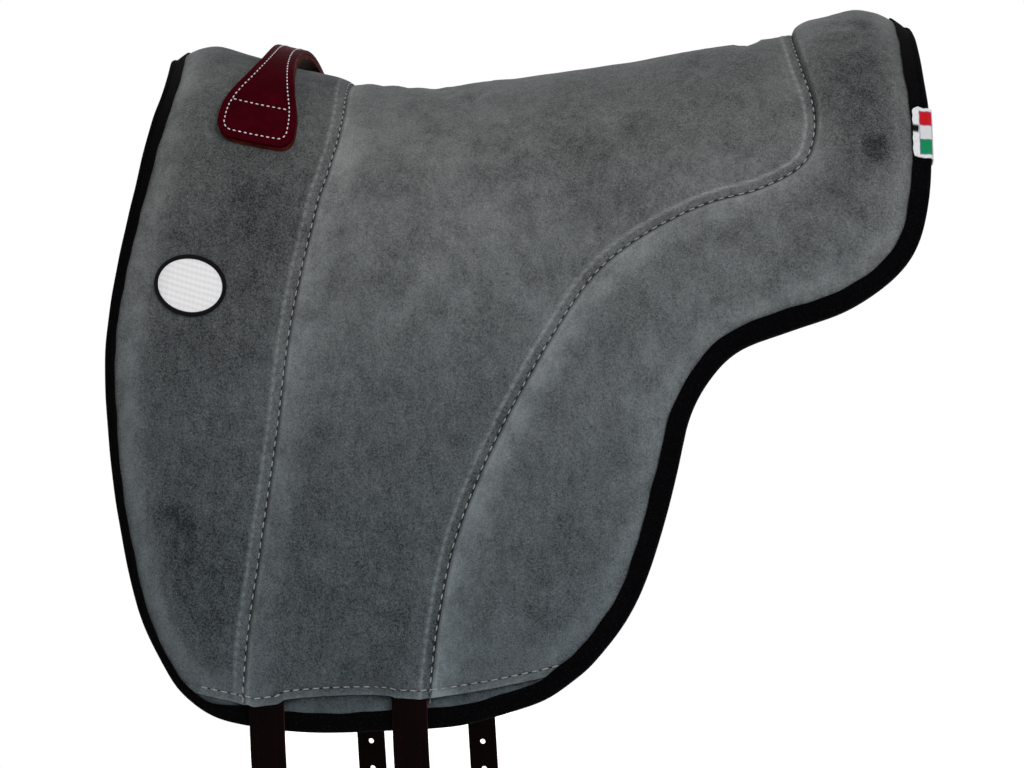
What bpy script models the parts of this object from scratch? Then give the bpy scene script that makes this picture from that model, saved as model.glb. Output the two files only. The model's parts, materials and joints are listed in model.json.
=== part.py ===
"""A bareback pad for a horse: padded suede panels, a bound edge, a grab handle and four billet straps.

Metres, +Z up. The origin is on the underside of the pad, on the spine line, at the lowest point of the
seat. -X is the front (withers) end and -Y is the near side. The pad is alike on both sides of the XZ plane.

The pad is laid out as a flat pattern, like its maker's: x runs along the horse and drop runs over the back,
from the spine line down each side. A negative drop is the near side. lay() bends the pattern over the back.
"""

import math

import bmesh
import bpy
import numpy as np
from mathutils import Matrix, Vector
from mathutils.bvhtree import BVHTree

# Overall size of the flat pattern
PAD_LENGTH = 0.585
FLAP_DROP = 0.541

# Shape of the back that the pad lies on
DRAPE_LENGTH = 0.260
DRAPE_GROWTH_SHARE = 0.078
FLAP_ANGLE = math.radians(82)
FRONT_LIFT = 0.056
FRONT_LIFT_REACH = 0.250
FRONT_LIFT_POWER = 2.2
REAR_LIFT = 0.034
REAR_LIFT_REACH = 0.340
REAR_LIFT_POWER = 1.6

# Thickness of the padding, on the spine and down on the flaps
FRONT_CROWN = 0.038
FRONT_SEAM_CROWN = 0.033
SEAT_THICKNESS = 0.0285
REAR_CROWN = 0.036
SPINE_SEAM_HEIGHT = 0.0262
FLAP_THICKNESS = 0.0245
FLAP_SEAM_HEIGHT = 0.0195
CROWN_FADE = 0.240
SEAM_ROLL = 0.018
EDGE_RISE = 0.042
EDGE_RISE_POWER = 1.5
HEM_RISE = 0.034

# Layers, from the horse outwards
LINING_THICKNESS = 0.0020
COVER_THICKNESS = 0.0018
EDGE_HEIGHT = 0.0085
HEM_HEIGHT = 0.0110
LAYER_GAP = 0.0003
SEAM_GAP = 0.0004
LAID_GAP = 0.0006
LAID_REACH = 0.0030

# Tape that binds the edge
TAPE_THICKNESS = 0.0012
TAPE_COVER = 0.0120
TAPE_GAP = 0.0006
RIM_WIDTH = 0.0160
FOLD_CORNER = 0.0009

# Webbing under the seat, which ties the billets of both sides together
WEB_WIDTH = 0.028
WEB_THICKNESS = 0.0015
WEB_CLEARANCE = 0.0006
WEB_SEAM_DISTANCE = 0.0185
WEB_FRONT_SPINE_DISTANCE = 0.030
WEB_REAR_SPINE = 0.020
WEB_SWEEP_POWER = 1.2

# Billet straps
BILLET_WIDTH = 0.025
BILLET_THICKNESS = 0.0038
BILLET_SEAM_DISTANCE = 0.016
BILLET_HANG = 0.270
BILLET_TIP = 0.014
BILLET_TIP_WIDTH = 0.008
BILLET_BEND = 0.020
HOLE_DIAMETER = 0.005
HOLE_PITCH = 0.025
HOLE_COUNT = 7
FIRST_HOLE = 0.034
CUT_OVERRUN = 0.012

# Grab handle
HANDLE_OUTER_THICKNESS = 0.0030
HANDLE_INNER_THICKNESS = 0.0034
HANDLE_CLEARANCE = 0.0090
HANDLE_STRAP_WIDTH = 0.0215
HANDLE_TAB_WIDTH = 0.0565
HANDLE_FOLD = 0.093
HANDLE_END = 0.122
HANDLE_CORNER = 0.011
HANDLE_LEAN = 0.0066

# Badge patch and edge label
BADGE_LENGTH = 0.055
BADGE_HEIGHT = 0.044
BADGE_THICKNESS = 0.0020
LABEL_LENGTH = 0.038
LABEL_COVER = 0.0115
LABEL_THICKNESS = 0.0008

# Lines of the pattern, as points from the spine to the hem: x as a share of PAD_LENGTH and drop as a share
# of FLAP_DROP. The front and rear edges bound the pad, and the two seams divide it into three panels.
FRONT_EDGE_SHARES = (
    (-0.422, 0.0), (-0.409, 0.074), (-0.403, 0.140), (-0.407, 0.192), (-0.410, 0.222), (-0.414, 0.251),
    (-0.418, 0.283), (-0.424, 0.320), (-0.433, 0.366), (-0.444, 0.421), (-0.456, 0.490), (-0.465, 0.573),
    (-0.463, 0.669), (-0.453, 0.776), (-0.428, 0.900), (-0.385, 0.980),
)
FRONT_SEAM_SHARES = (
    (-0.171, 0.0), (-0.166, 0.074), (-0.162, 0.137), (-0.164, 0.185), (-0.169, 0.216), (-0.176, 0.248),
    (-0.185, 0.279), (-0.193, 0.316), (-0.204, 0.362), (-0.217, 0.421), (-0.229, 0.488), (-0.241, 0.577),
    (-0.255, 0.669), (-0.272, 0.776), (-0.289, 0.885), (-0.298, 0.972),
)
REAR_SEAM_SHARES = (
    (0.427, 0.0), (0.424, 0.083), (0.429, 0.157), (0.439, 0.237), (0.434, 0.285), (0.415, 0.316),
    (0.364, 0.333), (0.299, 0.338), (0.229, 0.359), (0.168, 0.394), (0.120, 0.449), (0.062, 0.540),
    (0.010, 0.638), (-0.029, 0.736), (-0.053, 0.841), (-0.067, 0.933),
)
REAR_EDGE_SHARES = (
    (0.578, 0.0), (0.576, 0.102), (0.574, 0.200), (0.573, 0.296), (0.562, 0.392), (0.535, 0.460),
    (0.468, 0.501), (0.391, 0.514), (0.325, 0.527), (0.285, 0.562), (0.260, 0.606), (0.243, 0.669),
    (0.222, 0.739), (0.195, 0.811), (0.166, 0.861), (0.123, 0.909),
)
BOTTOM_EDGE_SHARES = (
    (-0.357, 0.996), (-0.332, 1.0), (-0.307, 0.998), (-0.232, 0.990), (-0.133, 0.975), (-0.034, 0.967),
    (0.015, 0.956), (0.065, 0.944), (0.090, 0.933), (0.109, 0.921),
)
HEM_BOW = 0.0085
HEM_BOW_POWER = 6

# Rows of the pattern between one station and the next, and where the last rows come above the hem
ROW_STEPS = (2, 2, 2, 2, 2, 2, 1, 1, 1, 1, 1, 1, 1, 1)
LAST_ROW_SHARES = (0.5, 0.82, 1.0)

# Columns between the bands at the two borders of each panel
FRONT_COLUMN_SHARES = (0.10, 0.27, 0.58)
SEAT_COLUMN_SHARES = (0.25, 0.5, 0.75)
REAR_COLUMN_SHARES = (0.38, 0.72)

# Limits on how far a slanting edge stretches a row's first column, and a corner stretches the binding
STEEPEST_SINE_SHARE = 0.4
SHARPEST_CORNER_SHARE = 0.5

# Places on the pattern
HANDLE_STATION = 3.5
HANDLE_PLACE_SHARE = 0.61
BADGE_STATION = 9.1
BADGE_PLACE_SHARE = 0.43
LABEL_STATION = 3.06

# How wide the handle is, and how far its middle leans to the rear, at shares of the drop to its fold
HANDLE_WIDTH_SHARES = ((0.0, 0.0), (0.40, 0.0), (0.57, 0.10), (0.75, 0.37), (0.89, 0.67), (1.0, 0.92), (1.1, 1.0))
HANDLE_LEAN_SHARES = ((0.0, 1.0), (0.45, 1.0), (0.57, 0.90), (0.75, 0.60), (0.89, 0.20), (1.0, -0.10), (1.3, -0.50))

# Fineness of the curves
SECTION_STEPS = 400
SETTLING_STEPS = 8
HANDLE_ARCH_STEPS = 7
HANDLE_CORNER_STEPS = 3
BADGE_STEPS = 6
LABEL_STEPS = 4
BILLET_BEND_STEPS = 3
HOLE_SIDES = 8
SMOOTH_ANGLE = math.radians(35)


def material(name, colour, roughness, metallic=0.0):
    found = bpy.data.materials.new(name)
    found.use_nodes = True
    shader = found.node_tree.nodes["Principled BSDF"]
    shader.inputs["Base Color"].default_value = (*colour, 1.0)
    shader.inputs["Roughness"].default_value = roughness
    shader.inputs["Metallic"].default_value = metallic
    return found


def section_tables():
    """Shares of the drape's length across and down, at even steps of drop, for a back that steepens evenly."""
    share = np.linspace(0, 1, SECTION_STEPS + 1)
    angle = FLAP_ANGLE * np.sin(math.pi / 2 * share)
    across = np.cos(angle)
    down = np.sin(angle)
    across = np.concatenate([[0], np.cumsum((across[1:] + across[:-1]) / 2)]) / SECTION_STEPS
    down = np.concatenate([[0], np.cumsum((down[1:] + down[:-1]) / 2)]) / SECTION_STEPS
    return share, across, down


SECTION_SHARE, SECTION_ACROSS, SECTION_DOWN = section_tables()


def spine_height(x):
    """Height of the spine line, which rises towards the withers and towards the loin."""
    front = FRONT_LIFT * (max(-x, 0) / FRONT_LIFT_REACH) ** FRONT_LIFT_POWER
    rear = REAR_LIFT * (max(x, 0) / REAR_LIFT_REACH) ** REAR_LIFT_POWER
    return front + rear


def lay(x, drop, height):
    """The pattern point (x, drop), laid on the back and lifted by height square to the slope."""
    side = -1 if drop < 0 else 1
    length = DRAPE_LENGTH + DRAPE_GROWTH_SHARE * x
    share = abs(drop) / length
    on_curve = min(share, 1)
    beyond = length * (share - on_curve)
    angle = FLAP_ANGLE * math.sin(math.pi / 2 * on_curve)
    across = length * np.interp(on_curve, SECTION_SHARE, SECTION_ACROSS) + beyond * math.cos(angle)
    down = length * np.interp(on_curve, SECTION_SHARE, SECTION_DOWN) + beyond * math.sin(angle)
    y = across + height * math.sin(angle)
    z = spine_height(x) - down + height * math.cos(angle)
    return Vector((x, side * y, z))


def sized(shares):
    return [Vector((x * PAD_LENGTH, drop * FLAP_DROP)) for x, drop in shares]


def smooth_line(points, station):
    """A smooth curve through the points, read at a station that may lie between two of them."""
    index = min(int(station), len(points) - 2)
    t = station - index
    here, there = points[index], points[index + 1]
    before = points[index - 1] if index > 0 else Vector((there.x, -there.y))
    after = points[index + 2] if index + 2 < len(points) else 2 * there - here
    leave = (there - before) / 2
    arrive = (after - here) / 2
    start = here * (2 * t**3 - 3 * t**2 + 1) + leave * (t**3 - 2 * t**2 + t)
    return start + there * (3 * t**2 - 2 * t**3) + arrive * (t**3 - t**2)


def row_stations():
    """Station of each row of the pattern, from the spine to the hem."""
    found = [0.0]
    for station, steps in enumerate(ROW_STEPS):
        found += [station + (step + 1) / steps for step in range(steps)]
    return found + [len(ROW_STEPS) + share for share in LAST_ROW_SHARES]


LINE_SHARES = (FRONT_EDGE_SHARES, FRONT_SEAM_SHARES, REAR_SEAM_SHARES, REAR_EDGE_SHARES)
LINES = [sized(shares) for shares in LINE_SHARES]
STATIONS = row_stations()
ROWS = len(STATIONS) - 1
BORDERS = [[smooth_line(line, station) for station in STATIONS] for line in LINES]
FRONT, SEAT, REAR = range(3)


def crown(distance, run):
    """A quarter of an ellipse: 0 at no distance, 1 from the full run on."""
    t = min(max(distance / run, 0), 1)
    return math.sqrt(1 - (1 - t) ** 2)


def rim(to_edge):
    """0 at the pad's edge and 1 where its padding is full, rising from the edge at once."""
    return 1 - (1 - min(to_edge / EDGE_RISE, 1)) ** EDGE_RISE_POWER


def fade(at_spine, on_flap, drop):
    t = min(abs(drop) / CROWN_FADE, 1)
    return at_spine + (on_flap - at_spine) * (3 * t**2 - 2 * t**3)


def edge_run(edge, row, along):
    """How far along a row its first column lies, so that the rim at a slanting edge keeps its width."""
    before, after = edge[max(row - 1, 0)], edge[min(row + 1, ROWS)]
    edge_way = (after - before).normalized() if row else Vector((0, 1))
    sine = abs(edge_way.x * along.y - edge_way.y * along.x)
    return RIM_WIDTH / max(sine, STEEPEST_SINE_SHARE)


def panel_columns(panel, row):
    """Distances of a panel's columns along a row, from its front border to its rear one."""
    start, end = BORDERS[panel][row], BORDERS[panel + 1][row]
    width = (end - start).length
    along = (end - start) / width
    first = edge_run(BORDERS[0], row, along) if panel == FRONT else SEAM_ROLL
    last = edge_run(BORDERS[3], row, along) if panel == REAR else SEAM_ROLL
    shares = (FRONT_COLUMN_SHARES, SEAT_COLUMN_SHARES, REAR_COLUMN_SHARES)[panel]
    between = [first + (width - first - last) * share for share in shares]
    return [0.0, first, *between, width - last, width]


def hem_bow(panel, row, share):
    """How much a row of the seat bows up between its seams, which the hem does most."""
    if panel != SEAT:
        return 0.0
    return HEM_BOW * 4 * share * (1 - share) * (STATIONS[row] / STATIONS[-1]) ** HEM_BOW_POWER


def rearward(border, row):
    """The way square to a seam and towards the rear, at a row."""
    line = BORDERS[border]
    before, after = line[max(row - 1, 0)], line[min(row + 1, ROWS)]
    along = (after - before).normalized() if row else Vector((0, 1))
    return Vector((along.y, -along.x))


def panel_point(panel, row, column):
    """Pattern point of a panel's grid, half a gap off its seams, and its distance to the nearest seam."""
    start, end = BORDERS[panel][row], BORDERS[panel + 1][row]
    columns = panel_columns(panel, row)
    width = columns[-1]
    distance = columns[column]
    point = start.lerp(end, distance / width)
    point.y -= hem_bow(panel, row, distance / width)
    if panel != FRONT and column == 0:
        point += rearward(panel, row) * SEAM_GAP / 2
    if panel != REAR and distance == width:
        point -= rearward(panel + 1, row) * SEAM_GAP / 2
    to_front = distance if panel != FRONT else math.inf
    to_rear = width - distance if panel != REAR else math.inf
    return point, min(to_front, to_rear)


PANEL_COLUMNS = [len(panel_columns(panel, 0)) - 1 for panel in (FRONT, SEAT, REAR)]


def hem_line():
    """Pattern points along the hem, from the front edge to the rear edge, one for each column."""
    found = [panel_point(FRONT, ROWS, 0)[0]]
    for panel in (FRONT, SEAT, REAR):
        for column in range(1, PANEL_COLUMNS[panel] + 1):
            found.append(panel_point(panel, ROWS, column)[0])
    return found


HEM = hem_line()


def bottom_line():
    """Pattern points of the lower edge, one below each column of the hem."""
    shaped = [HEM[0], *sized(BOTTOM_EDGE_SHARES), HEM[-1]]
    across = [point.x for point in shaped]
    down = [point.y for point in shaped]
    return [Vector((point.x, float(np.interp(point.x, across, down)))) for point in HEM[1:-1]]


BOTTOM = bottom_line()


def outline_of_one_side():
    """The pad's edge on the far side, from the spine at the front round to the spine at the rear."""
    return BORDERS[0] + BOTTOM + BORDERS[3][::-1]


def distance_to(points, where):
    """Least distance from a pattern point to a line through the points."""
    line = np.array([tuple(point) for point in points])
    start, way = line[:-1], line[1:] - line[:-1]
    offset = np.array(tuple(where)) - start
    share = np.clip((offset * way).sum(axis=1) / (way**2).sum(axis=1), 0, 1)
    return float(np.sqrt(((offset - share[:, None] * way) ** 2).sum(axis=1)).min())


OUTLINE = outline_of_one_side()


def full_height(panel, where, share):
    if panel == SEAT:
        return fade(SEAT_THICKNESS, FLAP_THICKNESS, where.y)
    if panel == REAR:
        return fade(REAR_CROWN, FLAP_THICKNESS, where.y)
    ridge = FRONT_CROWN + (FRONT_SEAM_CROWN - FRONT_CROWN) * share**2
    return fade(ridge, FLAP_THICKNESS, where.y)


def padded_height(panel, row, column):
    """Height of the cover's face above the back: full in the panel, and lower at its seams and edges."""
    where, to_seam = panel_point(panel, row, column)
    columns = panel_columns(panel, row)
    seam = fade(SPINE_SEAM_HEIGHT, FLAP_SEAM_HEIGHT, where.y)
    full = full_height(panel, where, columns[column] / columns[-1])
    height = seam + (full - seam) * crown(to_seam, SEAM_ROLL)
    height = HEM_HEIGHT + (height - HEM_HEIGHT) * crown(distance_to(HEM, where), HEM_RISE)
    return EDGE_HEIGHT + (height - EDGE_HEIGHT) * rim(distance_to(OUTLINE, where))


def finished(name, bm, finish, origin=Vector()):
    """An object made of the bmesh, with its origin where it turns, its faces outwards and round sides smooth."""
    bmesh.ops.recalc_face_normals(bm, faces=bm.faces[:])
    if bm.calc_volume(signed=True) < 0:
        bmesh.ops.reverse_faces(bm, faces=bm.faces[:])
    bmesh.ops.translate(bm, verts=bm.verts[:], vec=-origin)
    mesh = bpy.data.meshes.new(name)
    bm.to_mesh(mesh)
    bm.free()
    mesh.materials.append(finish)
    mesh.shade_smooth()
    mesh.set_sharp_from_angle(angle=SMOOTH_ANGLE)
    made = bpy.data.objects.new(name, mesh)
    made.location = origin
    bpy.context.scene.collection.objects.link(made)
    return made


def split_wall(wall):
    """Splits a wall of a slab the same way as its neighbour across a seam, and as its twin on the other side."""
    inner = [vert for vert in wall.verts if vert.co.z <= 0]
    outer = [vert for vert in wall.verts if vert.co.z > 0]
    lowest = min(inner, key=lambda vert: (abs(vert.co.y), vert.co.x))
    highest = max(outer, key=lambda vert: (abs(vert.co.y), vert.co.x))
    bmesh.utils.face_split(wall, lowest, highest)


def slab(columns, rows, place):
    """A grid of columns by rows with a thickness, bent to shape by place(column, row, is_outer)."""
    bm = bmesh.new()
    bmesh.ops.create_grid(bm, x_segments=columns, y_segments=rows, size=1)
    near = [face for face in bm.faces if face.calc_center_median().y < 0]
    bmesh.ops.triangulate(bm, faces=near, quad_method="ALTERNATE")
    bmesh.ops.triangulate(bm, faces=[face for face in bm.faces if len(face.verts) == 4], quad_method="FIXED")
    extruded = bmesh.ops.extrude_face_region(bm, geom=bm.faces[:])
    outer = [item for item in extruded["geom"] if isinstance(item, bmesh.types.BMVert)]
    bmesh.ops.translate(bm, verts=outer, vec=(0, 0, 1))
    for wall in [face for face in bm.faces if len(face.verts) == 4]:
        split_wall(wall)
    for vert in bm.verts:
        column = round((vert.co.x + 1) / 2 * columns)
        row = round((vert.co.y + 1) / 2 * rows)
        vert.co = place(column, row, vert.co.z > 0)
    return bm


def panel_layer(name, panel, inner, outer, finish):
    """One layer of a panel over the whole back. inner and outer give its two heights from the padded height."""

    def place(column, row, is_outer):
        side = row - ROWS
        point = panel_point(panel, abs(side), column)[0]
        height = padded_height(panel, abs(side), column)
        drop = point.y if side >= 0 else -point.y
        return lay(point.x, drop, outer(height) if is_outer else inner(height))

    return finished(name, slab(PANEL_COLUMNS[panel], 2 * ROWS, place), finish)


def cover(name, panel, finish):
    return panel_layer(name, panel, lambda height: height - COVER_THICKNESS, lambda height: height, finish)


FOAM_BASE = LINING_THICKNESS + LAYER_GAP


def foam(name, panel, finish):
    below_cover = COVER_THICKNESS + LAYER_GAP
    return panel_layer(name, panel, lambda height: FOAM_BASE, lambda height: height - below_cover, finish)


def lining(finish):
    """One sheet under all three panels, down to the hems."""
    starts = [sum(PANEL_COLUMNS[:panel]) for panel in (FRONT, SEAT, REAR)]

    def place(column, row, is_outer):
        side = row - ROWS
        panel = max(index for index, start in enumerate(starts) if column >= start)
        point = panel_point(panel, abs(side), column - starts[panel])[0]
        drop = point.y if side >= 0 else -point.y
        return lay(point.x, drop, LINING_THICKNESS if is_outer else 0)

    return finished("lining", slab(sum(PANEL_COLUMNS), 2 * ROWS, place), finish)


def lower_strip(name, side, finish):
    """The strip below the hem: a lens with its points under the binding."""

    def place(column, row, is_outer):
        upper, lower = HEM[column + 1], BOTTOM[column]
        drop = upper.y + SEAM_GAP if row == 0 else lower.y
        return lay(upper.x, side * drop, EDGE_HEIGHT if is_outer else 0)

    return finished(name, slab(len(BOTTOM) - 1, 1, place), finish)


def closed_outline():
    """The whole edge as a loop, over both sides."""
    far = OUTLINE
    near = [Vector((point.x, -point.y)) for point in far[-2:0:-1]]
    return far + near


def inward_ways(loop):
    """At each point of the loop, the way square to the edge and into the pad, lengthened at corners."""
    found = []
    for index, point in enumerate(loop):
        before = (point - loop[index - 1]).normalized()
        after = (loop[(index + 1) % len(loop)] - point).normalized()
        way = before + after
        way.normalize()
        square = Vector((way.y, -way.x))
        found.append(square / max(before.dot(way), SHARPEST_CORNER_SHARE))
    return found


def folded_face(lift, cover_width):
    """Section of a face folded round the edge at a distance lift from it: (inset, height) pairs.
    Its first point has no height, because it rests on the padding."""
    low, high = -lift, EDGE_HEIGHT + lift
    return [
        (cover_width, None),
        (FOLD_CORNER - lift, high),
        (-lift, high - FOLD_CORNER),
        (-lift, low + FOLD_CORNER),
        (FOLD_CORNER - lift, low),
        (cover_width, low),
    ]


def tape_profile():
    """Closed section of the binding tape: its folded outer face, and its inner face square round the edge."""
    low, high = -TAPE_GAP, EDGE_HEIGHT + TAPE_GAP
    inside = [(TAPE_COVER, low), (low, low), (low, high), (TAPE_COVER, None)]
    return folded_face(TAPE_GAP + TAPE_THICKNESS, TAPE_COVER) + inside


def binding(surface, finish):
    """Tape folded over the edge all the way round, as one closed ring."""
    loop = closed_outline()
    ways = inward_ways(loop)
    profile = tape_profile()
    bm = bmesh.new()
    bmesh.ops.create_grid(bm, x_segments=len(profile), y_segments=len(loop), size=1)
    for vert in bm.verts:
        column = round((vert.co.x + 1) / 2 * len(profile)) % len(profile)
        row = round((vert.co.y + 1) / 2 * len(loop)) % len(loop)
        inset, height = profile[column]
        point = loop[row] + ways[row] * inset
        if height is None:
            lift = TAPE_GAP + (TAPE_THICKNESS if column == 0 else 0)
            height = rest_height(surface, point.x, point.y) + lift
        vert.co = lay(point.x, point.y, height)
    bmesh.ops.remove_doubles(bm, verts=bm.verts[:], dist=LAYER_GAP / 10)
    return finished("edge_binding", bm, finish)


def hem_drop(x):
    return float(np.interp(x, [point.x for point in HEM], [point.y for point in HEM]))


def web_path(front):
    """A web's middle at each row of the seat, from the spine to the hem, where its billets hang from it."""
    hem = BORDERS[1][ROWS] if front else BORDERS[2][ROWS]
    spine = BORDERS[1][0].x + WEB_FRONT_SPINE_DISTANCE if front else WEB_REAR_SPINE
    foot = hem.x + WEB_SEAM_DISTANCE if front else hem.x - WEB_SEAM_DISTANCE
    lowest = min(hem_drop(foot + half) for half in (-WEB_WIDTH / 2, WEB_WIDTH / 2)) - SEAM_GAP
    found = []
    for row in range(ROWS):
        start, end = BORDERS[1][row], BORDERS[2][row]
        x, drop = spine, start.y
        for _ in range(SETTLING_STEPS):
            drop = start.y + (end.y - start.y) * (x - start.x) / (end.x - start.x)
            x = spine + (foot - spine) * (max(drop, 0) / lowest) ** WEB_SWEEP_POWER
        found.append(Vector((x, drop)))
    found = [point for point in found if point.y < lowest - WEB_THICKNESS]
    return found + [Vector((foot, lowest))]


def web_slab(front, surface, half_width, low, high, overrun):
    """A band over the back along a web's path, on the surface. overrun lengthens it past the hem."""
    path = web_path(front)
    last = len(path) - 1
    path.append(path[last] + (path[last] - path[last - 1]).normalized() * overrun)

    def place(column, row, is_outer):
        side = row - last
        point = path[abs(side)]
        ends = path[last + 1] if abs(side) == last else point
        shift = half_width if column else -half_width
        hand = 1 if side >= 0 else -1
        height = rest_height(surface, point.x + shift, hand * point.y) + (high if is_outer else low)
        return lay(ends.x + shift, hand * ends.y, height)

    return slab(1, 2 * last, place)


def girth_web(name, front, surface, foam_piece, finish):
    """A web on the lining, and its channel in the underside of the foam."""
    top = LAID_GAP + WEB_THICKNESS
    made = finished(name, web_slab(front, surface, WEB_WIDTH / 2, LAID_GAP, top, 0), finish)
    wide = WEB_WIDTH / 2 + WEB_CLEARANCE
    channel = web_slab(front, surface, wide, -LINING_THICKNESS / 2, top + LAYER_GAP, CUT_OVERRUN)
    cut(foam_piece, finished(name + "_channel", channel, finish))
    return made


def cut(piece, cutter):
    cutter.hide_render = True
    cutter.display_type = "WIRE"
    boolean = piece.modifiers.new(cutter.name, "BOOLEAN")
    boolean.object = cutter
    boolean.operation = "DIFFERENCE"
    boolean.solver = "EXACT"


def surface_of(pieces):
    """The faces of these pieces, for laying others on them."""
    joined = bmesh.new()
    for piece in pieces:
        start = len(joined.verts)
        joined.from_mesh(piece.data)
        joined.verts.ensure_lookup_table()
        bmesh.ops.translate(joined, verts=joined.verts[start:], vec=piece.location)
    found = BVHTree.FromBMesh(joined)
    joined.free()
    return found


def rest_height(surface, x, drop):
    """Greatest height of the surface above the back, at this pattern point and close round it."""
    reach = 2 * FRONT_CROWN
    found = []
    for across, along in ((0, 0), (1, 0), (-1, 0), (0, 1), (0, -1)):
        near_x, near_drop = x + across * LAID_REACH, drop + along * LAID_REACH
        outside = lay(near_x, near_drop, reach)
        way = lay(near_x, near_drop, 0) - outside
        distance = surface.ray_cast(outside, way, way.length)[3]
        if distance is not None:
            found.append(reach - distance)
    return max(found, default=LINING_THICKNESS)


def handle_half_width(drop):
    """Half the handle's width: a narrow grip that flares to its tab, whose lower corners are round."""
    share = float(np.interp(abs(drop) / HANDLE_FOLD, *zip(*HANDLE_WIDTH_SHARES)))
    half = (HANDLE_STRAP_WIDTH + (HANDLE_TAB_WIDTH - HANDLE_STRAP_WIDTH) * share) / 2
    past_corner = max(abs(drop) - (HANDLE_END - HANDLE_CORNER), 0)
    return half - HANDLE_CORNER + math.sqrt(max(HANDLE_CORNER**2 - past_corner**2, 0))


def handle_drops():
    """Drops of the handle's rows: even over the arch, then down the tab and round its corners."""
    arch = [HANDLE_FOLD * step / HANDLE_ARCH_STEPS for step in range(HANDLE_ARCH_STEPS + 1)]
    tab = HANDLE_END - HANDLE_CORNER
    turns = [math.pi / 2 * step / HANDLE_CORNER_STEPS for step in range(HANDLE_CORNER_STEPS + 1)]
    corner = [tab + HANDLE_CORNER * math.sin(turn) for turn in turns]
    return arch + [(HANDLE_FOLD + tab) / 2] + corner


def handle_middle(drop):
    """Where the handle's middle line lies along the horse: it leans to the rear over the spine."""
    front = smooth_line(LINES[0], HANDLE_STATION)
    seam = smooth_line(LINES[1], HANDLE_STATION)
    lean = float(np.interp(abs(drop) / HANDLE_FOLD, *zip(*HANDLE_LEAN_SHARES)))
    return front.lerp(seam, HANDLE_PLACE_SHARE).x + HANDLE_LEAN * lean


def handle_layer(name, surface, low, thickness, finish):
    """A leather layer of the handle: flat on both flaps below its folds and arched over the spine between them."""
    drops = handle_drops()
    last = len(drops) - 1

    def place(column, row, is_outer):
        side = row - last
        drop = drops[abs(side)] if side >= 0 else -drops[abs(side)]
        x = handle_middle(drop) + handle_half_width(drop) * (column - 2) / 2
        arch = HANDLE_CLEARANCE * max(1 - (drop / HANDLE_FOLD) ** 2, 0)
        height = rest_height(surface, x, drop) + LAID_GAP + arch + low
        return lay(x, drop, height + (thickness if is_outer else 0))

    return finished(name, slab(4, 2 * last, place), finish)


def badge(surface, finish):
    """An oval patch on the near side of the front panel."""
    front = smooth_line(LINES[0], BADGE_STATION)
    seam = smooth_line(LINES[1], BADGE_STATION)
    middle = front.lerp(seam, BADGE_PLACE_SHARE)
    steps = BADGE_STEPS

    def place(column, row, is_outer):
        a = 2 * column / steps - 1
        b = 2 * row / steps - 1
        x = middle.x + BADGE_LENGTH / 2 * a * math.sqrt(1 - b**2 / 2)
        drop = -(middle.y + BADGE_HEIGHT / 2 * b * math.sqrt(1 - a**2 / 2))
        height = rest_height(surface, x, drop) + LAID_GAP
        return lay(x, drop, height + (BADGE_THICKNESS if is_outer else 0))

    return finished("badge_patch", slab(steps, steps, place), finish)


def edge_label(surface, finish):
    """A woven label folded round the binding on the near side of the rear edge."""
    lift = TAPE_GAP + TAPE_THICKNESS + LAID_GAP
    inner = folded_face(lift, LABEL_COVER)
    outer = folded_face(lift + LABEL_THICKNESS, LABEL_COVER)
    edge = smooth_line(LINES[3], LABEL_STATION)
    ahead = smooth_line(LINES[3], LABEL_STATION + 1) - smooth_line(LINES[3], LABEL_STATION - 1)
    ahead.normalize()

    def place(column, row, is_outer):
        inset, height = (outer if is_outer else inner)[column]
        along = LABEL_LENGTH * (row / LABEL_STEPS - 1 / 2)
        point = edge + ahead * along + Vector((-ahead.y, ahead.x)) * inset
        if height is None:
            height = rest_height(surface, point.x, -point.y) + LAID_GAP + (LABEL_THICKNESS if is_outer else 0)
        return lay(point.x, -point.y, height)

    return finished("edge_label", slab(len(inner) - 1, LABEL_STEPS, place), finish)


def over_binding(x, drop, height):
    """A point of a billet's inner face that clears the binding across the billet's whole width."""
    found = lay(x, drop, height)
    corners = [lay(x + half, drop, height).y for half in (-BILLET_WIDTH / 2, BILLET_WIDTH / 2)]
    found.y = max(corners, key=abs)
    return found


def billet_path(surface, x, side):
    """Middle line of a billet's inner face, from the hem over the binding and down to its tip."""
    edge_drop = float(np.interp(x, [point.x for point in BOTTOM], [point.y for point in BOTTOM]))
    across = [x - BILLET_WIDTH / 2, x, x + BILLET_WIDTH / 2]
    hem = max(hem_drop(place) for place in across)
    down = [hem, (hem + edge_drop) / 2, edge_drop - TAPE_GAP - TAPE_THICKNESS]
    height = max(rest_height(surface, place, side * drop) for place in across for drop in down) + LAID_GAP
    start = over_binding(x, side * (hem + SEAM_GAP), height)
    edge = over_binding(x, side * (edge_drop + TAPE_COVER / 2), height)
    slope = (edge - start).normalized()
    path = [start, edge]
    for step in range(BILLET_BEND_STEPS):
        turn = (step + 1 / 2) / BILLET_BEND_STEPS
        way = slope.lerp(Vector((0, 0, -1)), turn).normalized()
        path.append(path[-1] + way * BILLET_BEND / BILLET_BEND_STEPS)
    tip = path[-1] + Vector((0, 0, -1)) * (BILLET_HANG - BILLET_BEND)
    return path + [tip + Vector((0, 0, BILLET_TIP)), tip]


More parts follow.
